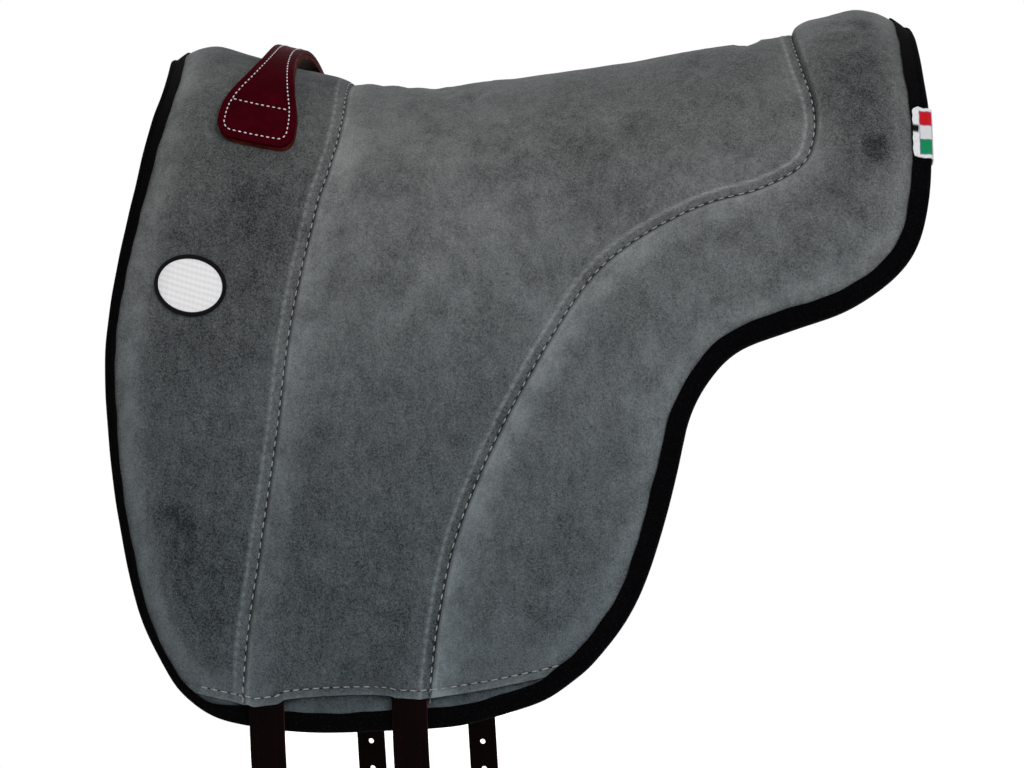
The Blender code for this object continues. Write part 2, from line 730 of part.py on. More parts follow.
def billet(name, front, side, surface, finish):
    """A strap hinged at the hem. Its origin is the outer corner of its top end, on the axis it swings about."""
    hem = BORDERS[1][ROWS] if front else BORDERS[2][ROWS]
    x = hem.x + BILLET_SEAM_DISTANCE if front else hem.x - BILLET_SEAM_DISTANCE
    path = billet_path(surface, x, side)
    last = len(path) - 1
    outwards = []
    for index in range(last + 1):
        way = (path[min(index + 1, last)] - path[max(index - 1, 0)]).normalized()
        outwards.append(Vector((0, -side * way.z, side * way.y)))

    def place(column, row, is_outer):
        half = BILLET_TIP_WIDTH / 2 if row == last else BILLET_WIDTH / 2
        lift = outwards[row] * (BILLET_THICKNESS if is_outer else 0)
        return path[row] + Vector((half * (column - 1), 0, 0)) + lift

    axis = path[0] + outwards[0] * BILLET_THICKNESS
    made = finished(name, slab(2, last, place), finish, axis)
    cut(made, holes(name + "_holes", path[-1], side, finish))
    return made


QUARTER_TURN = Matrix.Rotation(math.pi / 2, 3, "X")


def holes(name, tip, side, finish):
    """The punches for a billet's row of holes, square to its hanging part."""
    bm = bmesh.new()
    depth = BILLET_THICKNESS + 2 * CUT_OVERRUN
    for index in range(HOLE_COUNT):
        radius = HOLE_DIAMETER / 2
        made = bmesh.ops.create_cone(
            bm, cap_ends=True, segments=HOLE_SIDES, radius1=radius, radius2=radius, depth=depth
        )
        up = Vector((0, side * BILLET_THICKNESS / 2, FIRST_HOLE + HOLE_PITCH * index))
        bmesh.ops.rotate(bm, verts=made["verts"], matrix=QUARTER_TURN)
        bmesh.ops.translate(bm, verts=made["verts"], vec=tip + up)
    return finished(name, bm, finish)


def main():
    for old in list(bpy.data.objects):
        bpy.data.objects.remove(old, do_unlink=True)
    suede = material("grey_suede", (0.10, 0.105, 0.10), 0.95)
    dark_suede = material("dark_grey_suede", (0.07, 0.073, 0.07), 0.95)
    padding = material("foam", (0.75, 0.70, 0.55), 0.9)
    felt = material("lining_felt", (0.06, 0.06, 0.065), 0.95)
    tape = material("black_tape", (0.015, 0.015, 0.017), 0.7)
    webbing = material("nylon_webbing", (0.03, 0.03, 0.03), 0.6)
    burgundy = material("burgundy_leather", (0.10, 0.01, 0.015), 0.5)
    tan = material("tan_leather", (0.25, 0.11, 0.05), 0.6)
    brown = material("dark_brown_leather", (0.03, 0.015, 0.012), 0.5)
    white = material("white_embroidery", (0.75, 0.75, 0.75), 0.8)

    front_panel = cover("front_panel", FRONT, suede)
    seat_panel = cover("seat_panel", SEAT, suede)
    rear_panel = cover("rear_panel", REAR, suede)
    foam("front_foam", FRONT, padding)
    seat_foam = foam("seat_foam", SEAT, padding)
    foam("rear_foam", REAR, padding)
    lining_surface = surface_of([lining(felt)])
    near_strip = lower_strip("lower_strip_near", -1, dark_suede)
    far_strip = lower_strip("lower_strip_far", 1, dark_suede)
    tape_ring = binding(surface_of([front_panel, seat_panel, rear_panel, near_strip, far_strip]), tape)
    girth_web("girth_web_front", True, lining_surface, seat_foam, webbing)
    girth_web("girth_web_rear", False, lining_surface, seat_foam, webbing)
    surface = surface_of([front_panel])
    handle_layer("handle_inner", surface, 0, HANDLE_INNER_THICKNESS, tan)
    outer_low = HANDLE_INNER_THICKNESS + LAYER_GAP
    handle_layer("handle_outer", surface, outer_low, HANDLE_OUTER_THICKNESS, burgundy)
    badge(surface, white)
    tape_surface = surface_of([tape_ring])
    edge_label(tape_surface, white)
    for side, hand in ((-1, "near"), (1, "far")):
        billet(f"billet_{hand}_front", True, side, tape_surface, brown)
        billet(f"billet_{hand}_rear", False, side, tape_surface, brown)


main()
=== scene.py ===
"""Dresses the bareback pad: suede covers, stitching, bound edge, grab handle, trim, billets and a stage.

Metres, +Z up. -X is the front (withers) end and -Y is the near side. Each piece is laid out on the pad's flat
pattern, where x runs along the horse and drop runs over the back from the spine line, negative on the near
side. lay() bends the pattern over the back.
"""

import json
import math

import bmesh
import bpy
import numpy as np
from mathutils import Matrix, Vector


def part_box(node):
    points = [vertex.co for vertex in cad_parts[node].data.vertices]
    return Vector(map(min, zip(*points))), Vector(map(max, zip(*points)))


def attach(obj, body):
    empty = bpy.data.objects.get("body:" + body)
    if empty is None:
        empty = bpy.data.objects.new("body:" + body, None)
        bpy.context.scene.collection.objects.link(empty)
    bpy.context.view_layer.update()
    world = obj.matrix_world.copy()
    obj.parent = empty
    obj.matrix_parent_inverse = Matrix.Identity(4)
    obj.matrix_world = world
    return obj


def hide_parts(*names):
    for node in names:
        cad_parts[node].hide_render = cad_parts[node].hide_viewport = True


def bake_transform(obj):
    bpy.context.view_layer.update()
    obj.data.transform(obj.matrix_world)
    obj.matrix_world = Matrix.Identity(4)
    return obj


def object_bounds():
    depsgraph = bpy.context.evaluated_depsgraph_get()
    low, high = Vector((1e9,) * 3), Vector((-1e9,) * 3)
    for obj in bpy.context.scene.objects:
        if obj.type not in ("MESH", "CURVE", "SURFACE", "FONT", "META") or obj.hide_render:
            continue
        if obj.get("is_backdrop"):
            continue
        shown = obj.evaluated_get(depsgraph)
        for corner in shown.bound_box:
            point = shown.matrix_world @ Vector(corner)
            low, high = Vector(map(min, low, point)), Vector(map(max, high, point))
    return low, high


bl_info = {
    "name": "Bareback pad",
    "version": (1, 0, 0),
    "blender": (4, 5, 0),
    "location": "View3D > Sidebar > Bareback pad",
    "description": "Builds the covers, stitching, binding, handle, trim and straps of a bareback pad",
    "category": "Object",
}

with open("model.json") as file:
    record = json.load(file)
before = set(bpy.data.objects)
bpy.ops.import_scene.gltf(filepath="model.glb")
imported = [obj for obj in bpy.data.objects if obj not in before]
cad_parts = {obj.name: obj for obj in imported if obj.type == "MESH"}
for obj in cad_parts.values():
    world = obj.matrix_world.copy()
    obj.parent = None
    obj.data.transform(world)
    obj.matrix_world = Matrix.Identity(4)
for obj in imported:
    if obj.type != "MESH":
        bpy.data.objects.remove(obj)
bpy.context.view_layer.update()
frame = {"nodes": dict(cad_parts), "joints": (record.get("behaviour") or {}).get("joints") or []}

# The flat pattern and the back it lies on
PAD_LENGTH = 0.585
FLAP_DROP = 0.541
DRAPE_LENGTH = 0.260
DRAPE_GROWTH_SHARE = 0.078
FLAP_ANGLE = math.radians(82)
FRONT_LIFT = 0.056
FRONT_LIFT_REACH = 0.250
FRONT_LIFT_POWER = 2.2
REAR_LIFT = 0.034
REAR_LIFT_REACH = 0.340
REAR_LIFT_POWER = 1.6

# Heights of the padding above the back
FRONT_CROWN = 0.038
FRONT_SEAM_CROWN = 0.033
SEAT_THICKNESS = 0.0285
REAR_CROWN = 0.036
SPINE_SEAM_HEIGHT = 0.0262
FLAP_THICKNESS = 0.0245
FLAP_SEAM_HEIGHT = 0.0195
CROWN_FADE = 0.240
SEAM_ROLL = 0.018
EDGE_RISE = 0.042
EDGE_RISE_POWER = 1.5
EDGE_PLUMPNESS = 0.32
EDGE_HEIGHT = 0.0085
HEM_HEIGHT = 0.0110
HEM_RISE = 0.036
HEM_STITCH_LINE = 0.006
EDGE_ROUND = 0.003
ALLOWANCE_EDGE = 0.0076
ALLOWANCE_EDGE_WIDTH = 0.0012

# Layers and the gaps between them
LINING_THICKNESS = 0.0020
LAYER_GAP = 0.0003
SEAM_GAP = 0.0004
LAID_GAP = 0.0006
TAPE_THICKNESS = 0.0012
TAPE_COVER = 0.0125
TAPE_NARROWING = 0.0054
TAPE_GAP = 0.0006
RIM_WIDTH = 0.0160
STEEPEST_SINE_SHARE = 0.4

# Grab handle, badge and label
HANDLE_OUTER_THICKNESS = 0.0030
HANDLE_INNER_THICKNESS = 0.0034
HANDLE_CLEARANCE = 0.0090
HANDLE_STRAP_WIDTH = 0.0215
HANDLE_TAB_WIDTH = 0.0565
HANDLE_FOLD = 0.093
HANDLE_END = 0.122
HANDLE_CORNER = 0.011
HANDLE_LEAN = 0.0066
BADGE_LENGTH = 0.055
BADGE_HEIGHT = 0.044
BADGE_TILT = math.radians(16)
LABEL_LENGTH = 0.038
LABEL_COVER = 0.0118
LABEL_THICKNESS = 0.0008
HANDLE_STATION = 3.5
HANDLE_PLACE_SHARE = 0.61
BADGE_STATION = 9.1
BADGE_PLACE_SHARE = 0.43
LABEL_STATION = 3.06
HANDLE_WIDTH_SHARES = (
    (0.0, 0.0), (0.40, 0.0), (0.57, 0.10), (0.75, 0.37), (0.89, 0.67), (1.0, 0.92), (1.1, 1.0),
)
HANDLE_LEAN_SHARES = (
    (0.0, 1.0), (0.45, 1.0), (0.57, 0.90), (0.75, 0.60), (0.89, 0.20), (1.0, -0.10), (1.3, -0.50),
)

# Billets
BILLET_WIDTH = 0.025
BILLET_THICKNESS = 0.0038
BILLET_BEND = 0.020
BILLET_TIP = 0.014
BILLET_TIP_WIDTH = 0.008
HOLE_DIAMETER = 0.005
HOLE_PITCH = 0.025
HOLE_COUNT = 7
FIRST_HOLE = 0.034
BILLETS = ("billet_near_front", "billet_near_rear", "billet_far_front", "billet_far_rear")
BEND_STEPS = 8
STRAP_STITCH_OFFSET = 0.0066
STRAP_STITCH_PITCH = 0.0046
STRAP_STITCHED = 0.062

# Stitches, tape and the label's colour blocks
STITCH_PITCH = 0.0074
SEAM_STITCH_SHARE = 0.60
HEM_STITCH_SHARE = 0.68
SEAM_STITCH_INSET = 0.0012
THREAD_STEP = 0.0012
OUTLINE_STEP = 0.0024
TAPE_RIB = 0.0016
OVERCAST_PITCH = 0.00075
SATIN_ROW = 0.0044
LABEL_BLOCK_TOP = 0.0035
LABEL_BLOCK_FOOT = 0.0142
LABEL_BLOCK_SPLIT = 0.0054
LABEL_BLOCK_END = 0.0163

# Lines of the pattern from the spine to the hem: shares of PAD_LENGTH and of FLAP_DROP
FRONT_EDGE_SHARES = (
    (-0.422, 0.0), (-0.409, 0.074), (-0.403, 0.140), (-0.407, 0.192), (-0.410, 0.222), (-0.414, 0.251),
    (-0.418, 0.283), (-0.424, 0.320), (-0.433, 0.366), (-0.444, 0.421), (-0.456, 0.490), (-0.465, 0.573),
    (-0.463, 0.669), (-0.453, 0.776), (-0.428, 0.900), (-0.385, 0.980),
)
FRONT_SEAM_SHARES = (
    (-0.171, 0.0), (-0.166, 0.074), (-0.162, 0.137), (-0.164, 0.185), (-0.169, 0.216), (-0.176, 0.248),
    (-0.185, 0.279), (-0.193, 0.316), (-0.204, 0.362), (-0.217, 0.421), (-0.229, 0.488), (-0.241, 0.577),
    (-0.255, 0.669), (-0.272, 0.776), (-0.289, 0.885), (-0.298, 0.972),
)
REAR_SEAM_SHARES = (
    (0.427, 0.0), (0.424, 0.083), (0.429, 0.157), (0.439, 0.237), (0.434, 0.285), (0.415, 0.316),
    (0.364, 0.333), (0.299, 0.338), (0.229, 0.359), (0.168, 0.394), (0.120, 0.449), (0.062, 0.540),
    (0.010, 0.638), (-0.029, 0.736), (-0.053, 0.841), (-0.067, 0.933),
)
REAR_EDGE_SHARES = (
    (0.578, 0.0), (0.576, 0.102), (0.574, 0.200), (0.573, 0.296), (0.562, 0.392), (0.535, 0.460),
    (0.468, 0.501), (0.391, 0.514), (0.325, 0.527), (0.285, 0.562), (0.260, 0.606), (0.243, 0.669),
    (0.222, 0.739), (0.195, 0.811), (0.166, 0.861), (0.123, 0.909),
)
BOTTOM_EDGE_SHARES = (
    (-0.357, 0.996), (-0.332, 1.0), (-0.307, 0.998), (-0.232, 0.990), (-0.133, 0.975), (-0.034, 0.967),
    (0.015, 0.956), (0.065, 0.944), (0.090, 0.933), (0.109, 0.921),
)
HEM_BOW = 0.0085
HEM_BOW_POWER = 6
NOTCH_LIFT = 0.0014
LIP_REACHES = (0.0026, 0.0014)
LIP_HEIGHT = 0.0100
LIP_THICKNESS = 0.0014
STRAP_TUCK = 0.007

# Fineness of the covers
LINE_STEPS = 40
ROWS_PER_STATION = 9
HEM_ROWS = 24
SEAM_BAND = (
    0.0, 0.0007, 0.0014, 0.0022, 0.0032, 0.0044, 0.0056, 0.0066, 0.0076, 0.0088, 0.0104, 0.013, 0.016,
    0.0195,
)
EDGE_BAND = (0.0, 0.0005, 0.0011, 0.0019, 0.003, 0.005, 0.008, 0.011, 0.014, 0.018, 0.022)
MIDDLE_COLUMNS = (27, 72, 24)
SECTION_STEPS = 400
SHARP_ANGLE = math.radians(40)
BEVEL_ANGLE = math.radians(50)

# The panels and the two sides
FRONT, SEAT, REAR, STRIP = range(4)
NEAR = -1
FAR = 1

# The stuffing's cloth simulation
SWELL_ROWS = 75
SWELL_COLUMNS = (20, 46, 17)
SWELL_FRAMES = 20
CLOTH_SETTINGS = {
    "vertex_group_mass": "held",
    "quality": 4,
    "mass": 0.25,
    "tension_stiffness": 12,
    "compression_stiffness": 6,
    "bending_stiffness": 0.3,
    "use_pressure": True,
    "shrink_min": -0.025,
}

# The camera that fits the photograph
CAMERA_TURN = math.radians(6)
CAMERA_RISE = math.radians(1)
CAMERA_ROLL = math.radians(3.5)
CAMERA_DISTANCE = 1.5
CAMERA_AIM = (0.012, 0, -0.212)
SENSOR_WIDTH = 36
FOCAL_PIXELS = 1865
PICTURE_WIDTH = 1024


# The pattern


def section_tables():
    """Shares of the drape's length across and down, at even steps of drop."""
    share = np.linspace(0, 1, SECTION_STEPS + 1)
    angle = FLAP_ANGLE * np.sin(np.pi / 2 * share)
    across, down = (
        np.concatenate([[0], np.cumsum((slope[1:] + slope[:-1]) / 2)]) / SECTION_STEPS
        for slope in (np.cos(angle), np.sin(angle))
    )
    return share, across, down


SECTION_SHARE, SECTION_ACROSS, SECTION_DOWN = section_tables()


def lay(x, drop, height):
    """Pattern points laid on the back and lifted by height square to the slope, as an array of places."""
    x, drop, height = np.broadcast_arrays(np.asarray(x, float), drop, height)
    side = np.where(drop < 0, -1.0, 1.0)
    length = DRAPE_LENGTH + DRAPE_GROWTH_SHARE * x
    share = np.abs(drop) / length
    on_curve = np.minimum(share, 1)
    beyond = length * (share - on_curve)
    angle = FLAP_ANGLE * np.sin(np.pi / 2 * on_curve)
    across = length * np.interp(on_curve, SECTION_SHARE, SECTION_ACROSS) + beyond * np.cos(angle)
    down = length * np.interp(on_curve, SECTION_SHARE, SECTION_DOWN) + beyond * np.sin(angle)
    rise = FRONT_LIFT * (np.maximum(-x, 0) / FRONT_LIFT_REACH) ** FRONT_LIFT_POWER
    rise = rise + REAR_LIFT * (np.maximum(x, 0) / REAR_LIFT_REACH) ** REAR_LIFT_POWER
    y = side * (across + height * np.sin(angle))
    return np.stack([x, y, rise - down + height * np.cos(angle)], axis=-1)


def traced(shares):
    """A smooth line through the pattern's points, as a fine polyline with LINE_STEPS steps a station."""
    points = np.array(shares) * (PAD_LENGTH, FLAP_DROP)
    last = len(points) - 1
    station = np.linspace(0, last, last * LINE_STEPS + 1)
    index = np.minimum(station.astype(int), last - 1)
    t = (station - index)[:, None]
    ends = np.vstack([points[1] * (1, -1), points, 2 * points[-1] - points[-2]])
    before, here, there, after = (ends[index + step] for step in range(4))
    leave, arrive = (there - before) / 2, (after - here) / 2
    start = here * (2 * t**3 - 3 * t**2 + 1) + leave * (t**3 - 2 * t**2 + t)
    return start + there * (3 * t**2 - 2 * t**3) + arrive * (t**3 - t**2)


LINES = [traced(s) for s in (FRONT_EDGE_SHARES, FRONT_SEAM_SHARES, REAR_SEAM_SHARES, REAR_EDGE_SHARES)]
LAST_STATION = len(FRONT_EDGE_SHARES) - 1


def on_line(line, station):
    """Pattern points of a line at these stations."""
    at = np.asarray(station, float) * LINE_STEPS
    steps = np.arange(len(line))
    return np.stack([np.interp(at, steps, line[:, 0]), np.interp(at, steps, line[:, 1])], axis=-1)


def unit(ways):
    return ways / np.linalg.norm(ways, axis=-1, keepdims=True)


def line_way(line, station):
    """The way that a line runs at these stations."""
    return unit(on_line(line, station + 0.1) - on_line(line, station - 0.1))


def edge_sine(edge, station, along):
    """Sine of the angle between a row and the edge line that it ends on."""
    ahead = line_way(edge, station)
    sine = np.abs(ahead[..., 0] * along[..., 1] - ahead[..., 1] * along[..., 0])
    return np.maximum(sine, STEEPEST_SINE_SHARE)


def hem_of(panel, share):
    """Pattern points of one panel's hem, at shares of its width."""
    start, end = LINES[panel][-1], LINES[panel + 1][-1]
    points = start + (end - start) * np.asarray(share)[:, None]
    if panel == SEAT:
        points[:, 1] -= HEM_BOW * 4 * share * (1 - share)
    return points


EVEN = np.linspace(0, 1, 41)
HEM = np.vstack([hem_of(FRONT, EVEN)[:-1], hem_of(SEAT, EVEN)[:-1], hem_of(REAR, EVEN)])


def hem_drop(x):
    return np.interp(x, HEM[:, 0], HEM[:, 1])


def strap_crossings():
    """Where the billets cross the hem along the horse, and how high their outer faces are there."""
    found = []
    for name in ("billet_near_front", "billet_near_rear"):
        pivot = np.array(next(joint for joint in frame["joints"] if joint["child"] == name)["pos_m"])
        drop = float(hem_drop(pivot[0]))
        level = lay(pivot[0], -drop, 0.0)
        outwards = lay(pivot[0], -drop, 1.0) - level
        found.append((float(pivot[0]), float(((pivot - level) * outwards).sum())))
    return found


STRAPS = strap_crossings()


def lip_line():
    """The covers' lower edge: the hem, drawn down a little over each billet."""
    x = np.linspace(HEM[0, 0], HEM[-1, 0], 300)
    drop = hem_drop(x)
    for (middle, _), reach in zip(STRAPS, LIP_REACHES):
        drop = drop + reach * (1 - eased((np.abs(x - middle) - 0.0080) / 0.0062))
    return np.stack([x, drop], axis=-1)


def eased(t):
    t = np.clip(t, 0, 1)
    return 3 * t**2 - 2 * t**3


LIP = lip_line()


def strip_bottom(x):
    """The lower edge of the strips below the hem."""
    shaped = np.vstack([HEM[:1], np.array(BOTTOM_EDGE_SHARES) * (PAD_LENGTH, FLAP_DROP), HEM[-1:]])
    return np.interp(x, shaped[:, 0], shaped[:, 1])


def bottom_line():
    """The lower edge, between the places where the front and rear edges turn into it."""
    front_way = unit(LINES[1][-1] - LINES[0][-1])
    rear_way = unit(LINES[3][-1] - LINES[2][-1])
    start = HEM[0, 0] + RIM_WIDTH / float(edge_sine(LINES[0], LAST_STATION, front_way)) * front_way[0]
    end = HEM[-1, 0] - RIM_WIDTH / float(edge_sine(LINES[3], LAST_STATION, rear_way)) * rear_way[0]
    x = np.linspace(start, end, 120)
    return np.stack([x, strip_bottom(x)], axis=-1)


BOTTOM = bottom_line()


def run_along(points):
    """How far along a polyline each of its points lies."""
    return np.concatenate([[0], np.cumsum(np.linalg.norm(np.diff(points, axis=0), axis=1))])


def evenly(points, spacing):
    """The polyline read at even steps of about this spacing."""
    run = run_along(points)
    at = np.linspace(0, run[-1], max(int(round(run[-1] / spacing)), 1) + 1)
    return np.stack([np.interp(at, run, points[:, axis]) for axis in range(points.shape[1])], axis=-1)


def closed_smooth(points, reach, passes):
    """The closed line with its corners eased: each point moves towards its neighbours."""
    for _ in range(passes):
        points = points + reach * ((np.roll(points, 1, axis=0) + np.roll(points, -1, axis=0)) / 2 - points)
    return points


def closed_outline():
    """The pad's whole edge as one closed line of even steps, from the spine in front round the far side."""
    far = np.vstack([LINES[0], BOTTOM, LINES[3][::-1]])
    near = far[-2:0:-1] * (1, -1)
    ring = evenly(np.vstack([far, near, far[:1]]), OUTLINE_STEP)[:-1]
    return closed_smooth(ring, 0.9, 8)


OUTLINE = closed_outline()


def distance_to(line, x, drop):
    """Least distance of each pattern point to a polyline."""
    spots = np.stack([np.ravel(x), np.ravel(drop)], axis=-1)
    start = line[:-1]
    way = line[1:] - start
    squares = np.maximum((way**2).sum(axis=1), 1e-16)
    found = []
    for some in np.array_split(spots, max(len(spots) // 2000, 1)):
        offset = some[:, None] - start
        share = np.clip((offset * way).sum(axis=2) / squares, 0, 1)
        found.append(np.sqrt(((offset - share[..., None] * way) ** 2).sum(axis=2)).min(axis=1))
    return np.concatenate(found).reshape(np.shape(x))


SEAM_LINES = [LINES[1][::4], LINES[2][::4]]
EDGE_LINE = np.vstack([OUTLINE[-20:], OUTLINE[: len(OUTLINE) // 2 + 20]])


# Heights above the back


def quarter_round(t):
    t = np.clip(t, 0, 1)
    return np.sqrt(1 - (1 - t) ** 2)


def bump_at(value, middle, width):
    return np.exp(-(((value - middle) / width) ** 2))


def panel_at(x, drop):
    """Which panel or strip holds each pattern point."""
    found = np.where(x < np.interp(drop, LINES[1][:, 1], LINES[1][:, 0]), FRONT, SEAT)
    found = np.where(x > np.interp(drop, LINES[2][:, 1], LINES[2][:, 0]), REAR, found)
    return np.where(drop > hem_drop(x), STRIP, found)


def distances(x, drop):
    """How far pattern points lie from the front seam, the rear seam, the hem and the edge."""
    return [distance_to(line, x, drop) for line in (*SEAM_LINES, LIP, EDGE_LINE)]


def own_seam(panel, near):
    """How far pattern points lie from the nearer of their own panel's seams."""
    return np.minimum(np.where(panel == REAR, 1, near[0]), np.where(panel == FRONT, 1, near[1]))


def billet_rise(x, drop):
    """How much the hem lifts where a billet comes out from under it."""
    found = np.zeros(np.shape(x))
    for middle, level in STRAPS:
        rise = level + LAYER_GAP + LIP_THICKNESS - LIP_HEIGHT
        found = found + rise * (1 - eased((np.abs(x - middle) - 0.0122) / 0.014))
    return found * (1 - eased((hem_drop(x) - drop - 0.003) / 0.030))


def underside(x, drop):
    """Height of a cover's underside: on the lining, and over the tops of the billets under the hem."""
    low = LINING_THICKNESS + LAYER_GAP
    found = np.zeros(np.shape(x))
    for middle, level in STRAPS:
        over = 1 - eased((np.abs(x - middle) - 0.0131) / 0.0024)
        over = over * eased((drop - hem_drop(x) + 0.0110) / 0.0025)
        found = found + (level + LAYER_GAP - low) * over
    return low + found


def pressed(panel, near):
    """1 on the side of each seam to which its allowance is pressed, which is the side towards the front."""
    return np.where(panel == SEAT, near[1] < near[0], panel == FRONT)


def skin(x, drop, panel=None, near=None):
    """Height of the padded face above the back at pattern points, before it swells."""
    drop = np.abs(drop)
    x, drop = np.broadcast_arrays(x, drop)
    panel = panel_at(x, drop) if panel is None else panel
    to_front, to_rear, to_hem, to_edge = distances(x, drop) if near is None else near
    depth = eased(drop / CROWN_FADE)
    front_x = np.interp(drop, LINES[0][:, 1], LINES[0][:, 0])
    seam_x = np.interp(drop, LINES[1][:, 1], LINES[1][:, 0])
    share = np.clip((x - front_x) / (seam_x - front_x), 0, 1)
    front_ridge = FRONT_CROWN + (FRONT_SEAM_CROWN - FRONT_CROWN) * share**2
    ridge = np.where(panel == FRONT, front_ridge, np.where(panel == REAR, REAR_CROWN, SEAT_THICKNESS))
    full = ridge + (FLAP_THICKNESS - ridge) * depth
    seam = SPINE_SEAM_HEIGHT + (FLAP_SEAM_HEIGHT - SPINE_SEAM_HEIGHT) * depth
    seam = seam + NOTCH_LIFT * (1 - eased((drop - 0.02) / 0.06))
    to_seam = own_seam(panel, (to_front, to_rear))
    rolled = quarter_round(to_seam / SEAM_ROLL)
    flat_band = 0.10 * eased(to_seam / 0.006) + 0.90 * eased((to_seam - 0.0060) / 0.022)
    flat = pressed(panel, (to_front, to_rear)) * np.where(panel == SEAT, 1, eased((drop - 0.02) / 0.06))
    lifted = seam + (full - seam) * (flat * flat_band + (1 - flat) * rolled)
    lifted = lifted + flat * 0.00045 * bump_at(to_seam, ALLOWANCE_EDGE, ALLOWANCE_EDGE_WIDTH)
    hump = (panel == SEAT) * (to_front < to_rear) * (1 - eased((drop - 0.01) / 0.05))
    lifted = lifted + hump * 0.0016 * bump_at(to_front, 0.015, 0.008)
    lifted = lifted - 0.0009 * bump_at(to_seam, 0.0006, 0.0011)
    past_stitch = np.maximum(to_hem - HEM_STITCH_LINE, 0)
    rise = 0.65 * quarter_round(past_stitch / HEM_RISE) + 0.35 * eased(past_stitch / HEM_RISE)
    rise = 0.06 * eased(to_hem / HEM_STITCH_LINE) + 0.94 * rise
    height = HEM_HEIGHT + (lifted - HEM_HEIGHT) * rise
    height = height - 0.0008 * bump_at(to_hem, HEM_STITCH_LINE, 0.0013)
    height = height - 0.0012 * (1 - quarter_round(to_hem / 0.0012))
    height = np.where(panel == STRIP, EDGE_HEIGHT + 0.0004, height)
    inside = np.maximum(to_edge, EDGE_ROUND)
    power = EDGE_RISE_POWER + EDGE_PLUMPNESS * (1 - eased(drop / 0.08))
    rim = 1 - (1 - np.minimum(inside / EDGE_RISE, 1)) ** power
    height = EDGE_HEIGHT + (height - EDGE_HEIGHT) * rim + np.where(panel == STRIP, 0, billet_rise(x, drop))
    return height - EDGE_ROUND * (1 - quarter_round(to_edge / EDGE_ROUND))


def eased_table(value, table):
    """The table read at the values, with its corners rounded off a little."""
    return sum(np.interp(value + shift, *zip(*table)) for shift in (-0.06, -0.03, 0, 0.03, 0.06)) / 5


def handle_middle(drop):
    """Where the handle's middle line lies along the horse: it leans to the rear over the spine."""
    front, seam = on_line(LINES[0], HANDLE_STATION), on_line(LINES[1], HANDLE_STATION)
    base = float((front + (seam - front) * HANDLE_PLACE_SHARE)[0])
    return base + HANDLE_LEAN * eased_table(np.abs(drop) / HANDLE_FOLD, HANDLE_LEAN_SHARES)


def badge_middle():
    front, seam = on_line(LINES[0], BADGE_STATION), on_line(LINES[1], BADGE_STATION)
    return front + (seam - front) * BADGE_PLACE_SHARE


def badge_slope():
    """How steeply the pattern's rows climb along the horse at the badge's middle."""
    place = badge_middle()
    step = lay(place[0] + 0.005, -place[1], 0.02) - lay(place[0] - 0.005, -place[1], 0.02)
    return float(step[2] / step[0])


def badge_spots(length_share, height_share):
    """Pattern points of the badge, whose long axis sinks to the rear, for shares of its half sizes."""
    place = badge_middle()
    along, across = BADGE_LENGTH / 2 * length_share, BADGE_HEIGHT / 2 * height_share
    x = along * math.cos(BADGE_TILT) - across * math.sin(BADGE_TILT)
    down = along * math.sin(BADGE_TILT) + across * math.cos(BADGE_TILT)
    return place[0] + x, -(place[1] + down + badge_slope() * x)


def badge_radius(x, drop):
    """Distance of pattern points from the badge's middle, as a share of the way to its rim."""
    place = badge_middle()
    x, down = x - place[0], -drop - place[1]
    down = down - badge_slope() * x
    along = x * math.cos(BADGE_TILT) + down * math.sin(BADGE_TILT)
    across = down * math.cos(BADGE_TILT) - x * math.sin(BADGE_TILT)
    return np.hypot(along / (BADGE_LENGTH / 2), across / (BADGE_HEIGHT / 2))


def handle_half_width(drop):
    """Half the handle's width: a narrow grip that flares to its tab, whose lower corners are round."""
    drop = np.abs(drop)
    share = eased_table(drop / HANDLE_FOLD, HANDLE_WIDTH_SHARES)
    half = (HANDLE_STRAP_WIDTH + (HANDLE_TAB_WIDTH - HANDLE_STRAP_WIDTH) * share) / 2
    past_corner = np.maximum(drop - (HANDLE_END - HANDLE_CORNER), 0)
    return half - HANDLE_CORNER + np.sqrt(np.maximum(HANDLE_CORNER**2 - past_corner**2, 0))


def looseness(x, drop, near, panel):
    """0 where the cover is sewn or bound down or carries trim, and 1 where it may swell and wave."""
    free = 1
    for distance, bound in ((own_seam(panel, near), 0.010), (near[2], 0.014), (near[3], 0.020)):
        free = free * eased((distance - bound) / 0.030)
    half = handle_half_width(np.minimum(np.abs(drop), HANDLE_FOLD))
    across = (np.abs(x - handle_middle(drop)) - half) / 0.012
    along = (np.abs(drop) - HANDLE_END) / 0.012
    free = free * eased(np.maximum(across, along) + 0.2)
    return free * eased((badge_radius(x, drop) - 1.04) / 0.5)


def waves(x, drop):
    """Broad soft unevenness of stuffed suede, from -1 to 1."""
    found = 0.5 * np.sin(61 * x + 23 * drop + 0.6) * np.sin(47 * drop - 13 * x + 1.1)
    found = found + 0.3 * np.sin(97 * x - 41 * drop + 2.4) * np.sin(83 * drop + 31 * x + 0.3)
    return found + 0.2 * np.sin(149 * x + 71 * drop + 4.0) * np.sin(131 * drop - 53 * x + 2.0)


def within_ends(share, soft):
    """1 between a crease's ends, easing to 0 past each of them."""
    return eased((share + soft) / (2 * soft)) * eased((1 + soft - share) / (2 * soft))


def along_segment(x, drop, start, end):
    """Distance of pattern points from a short straight crease, and their share along it."""
    start, way = np.array(start), np.array(end) - np.array(start)
    share = ((x - start[0]) * way[0] + (drop - start[1]) * way[1]) / (way**2).sum()
    across = ((x - start[0]) * way[1] - (drop - start[1]) * way[0]) / math.hypot(*way)
    return across, share


CREASES = (
    ((0.2395, -0.060), (0.2460, -0.112), 0.0016, 0.0040),
    ((-0.1120, -0.020), (-0.1085, -0.064), 0.0011, 0.0036),
)


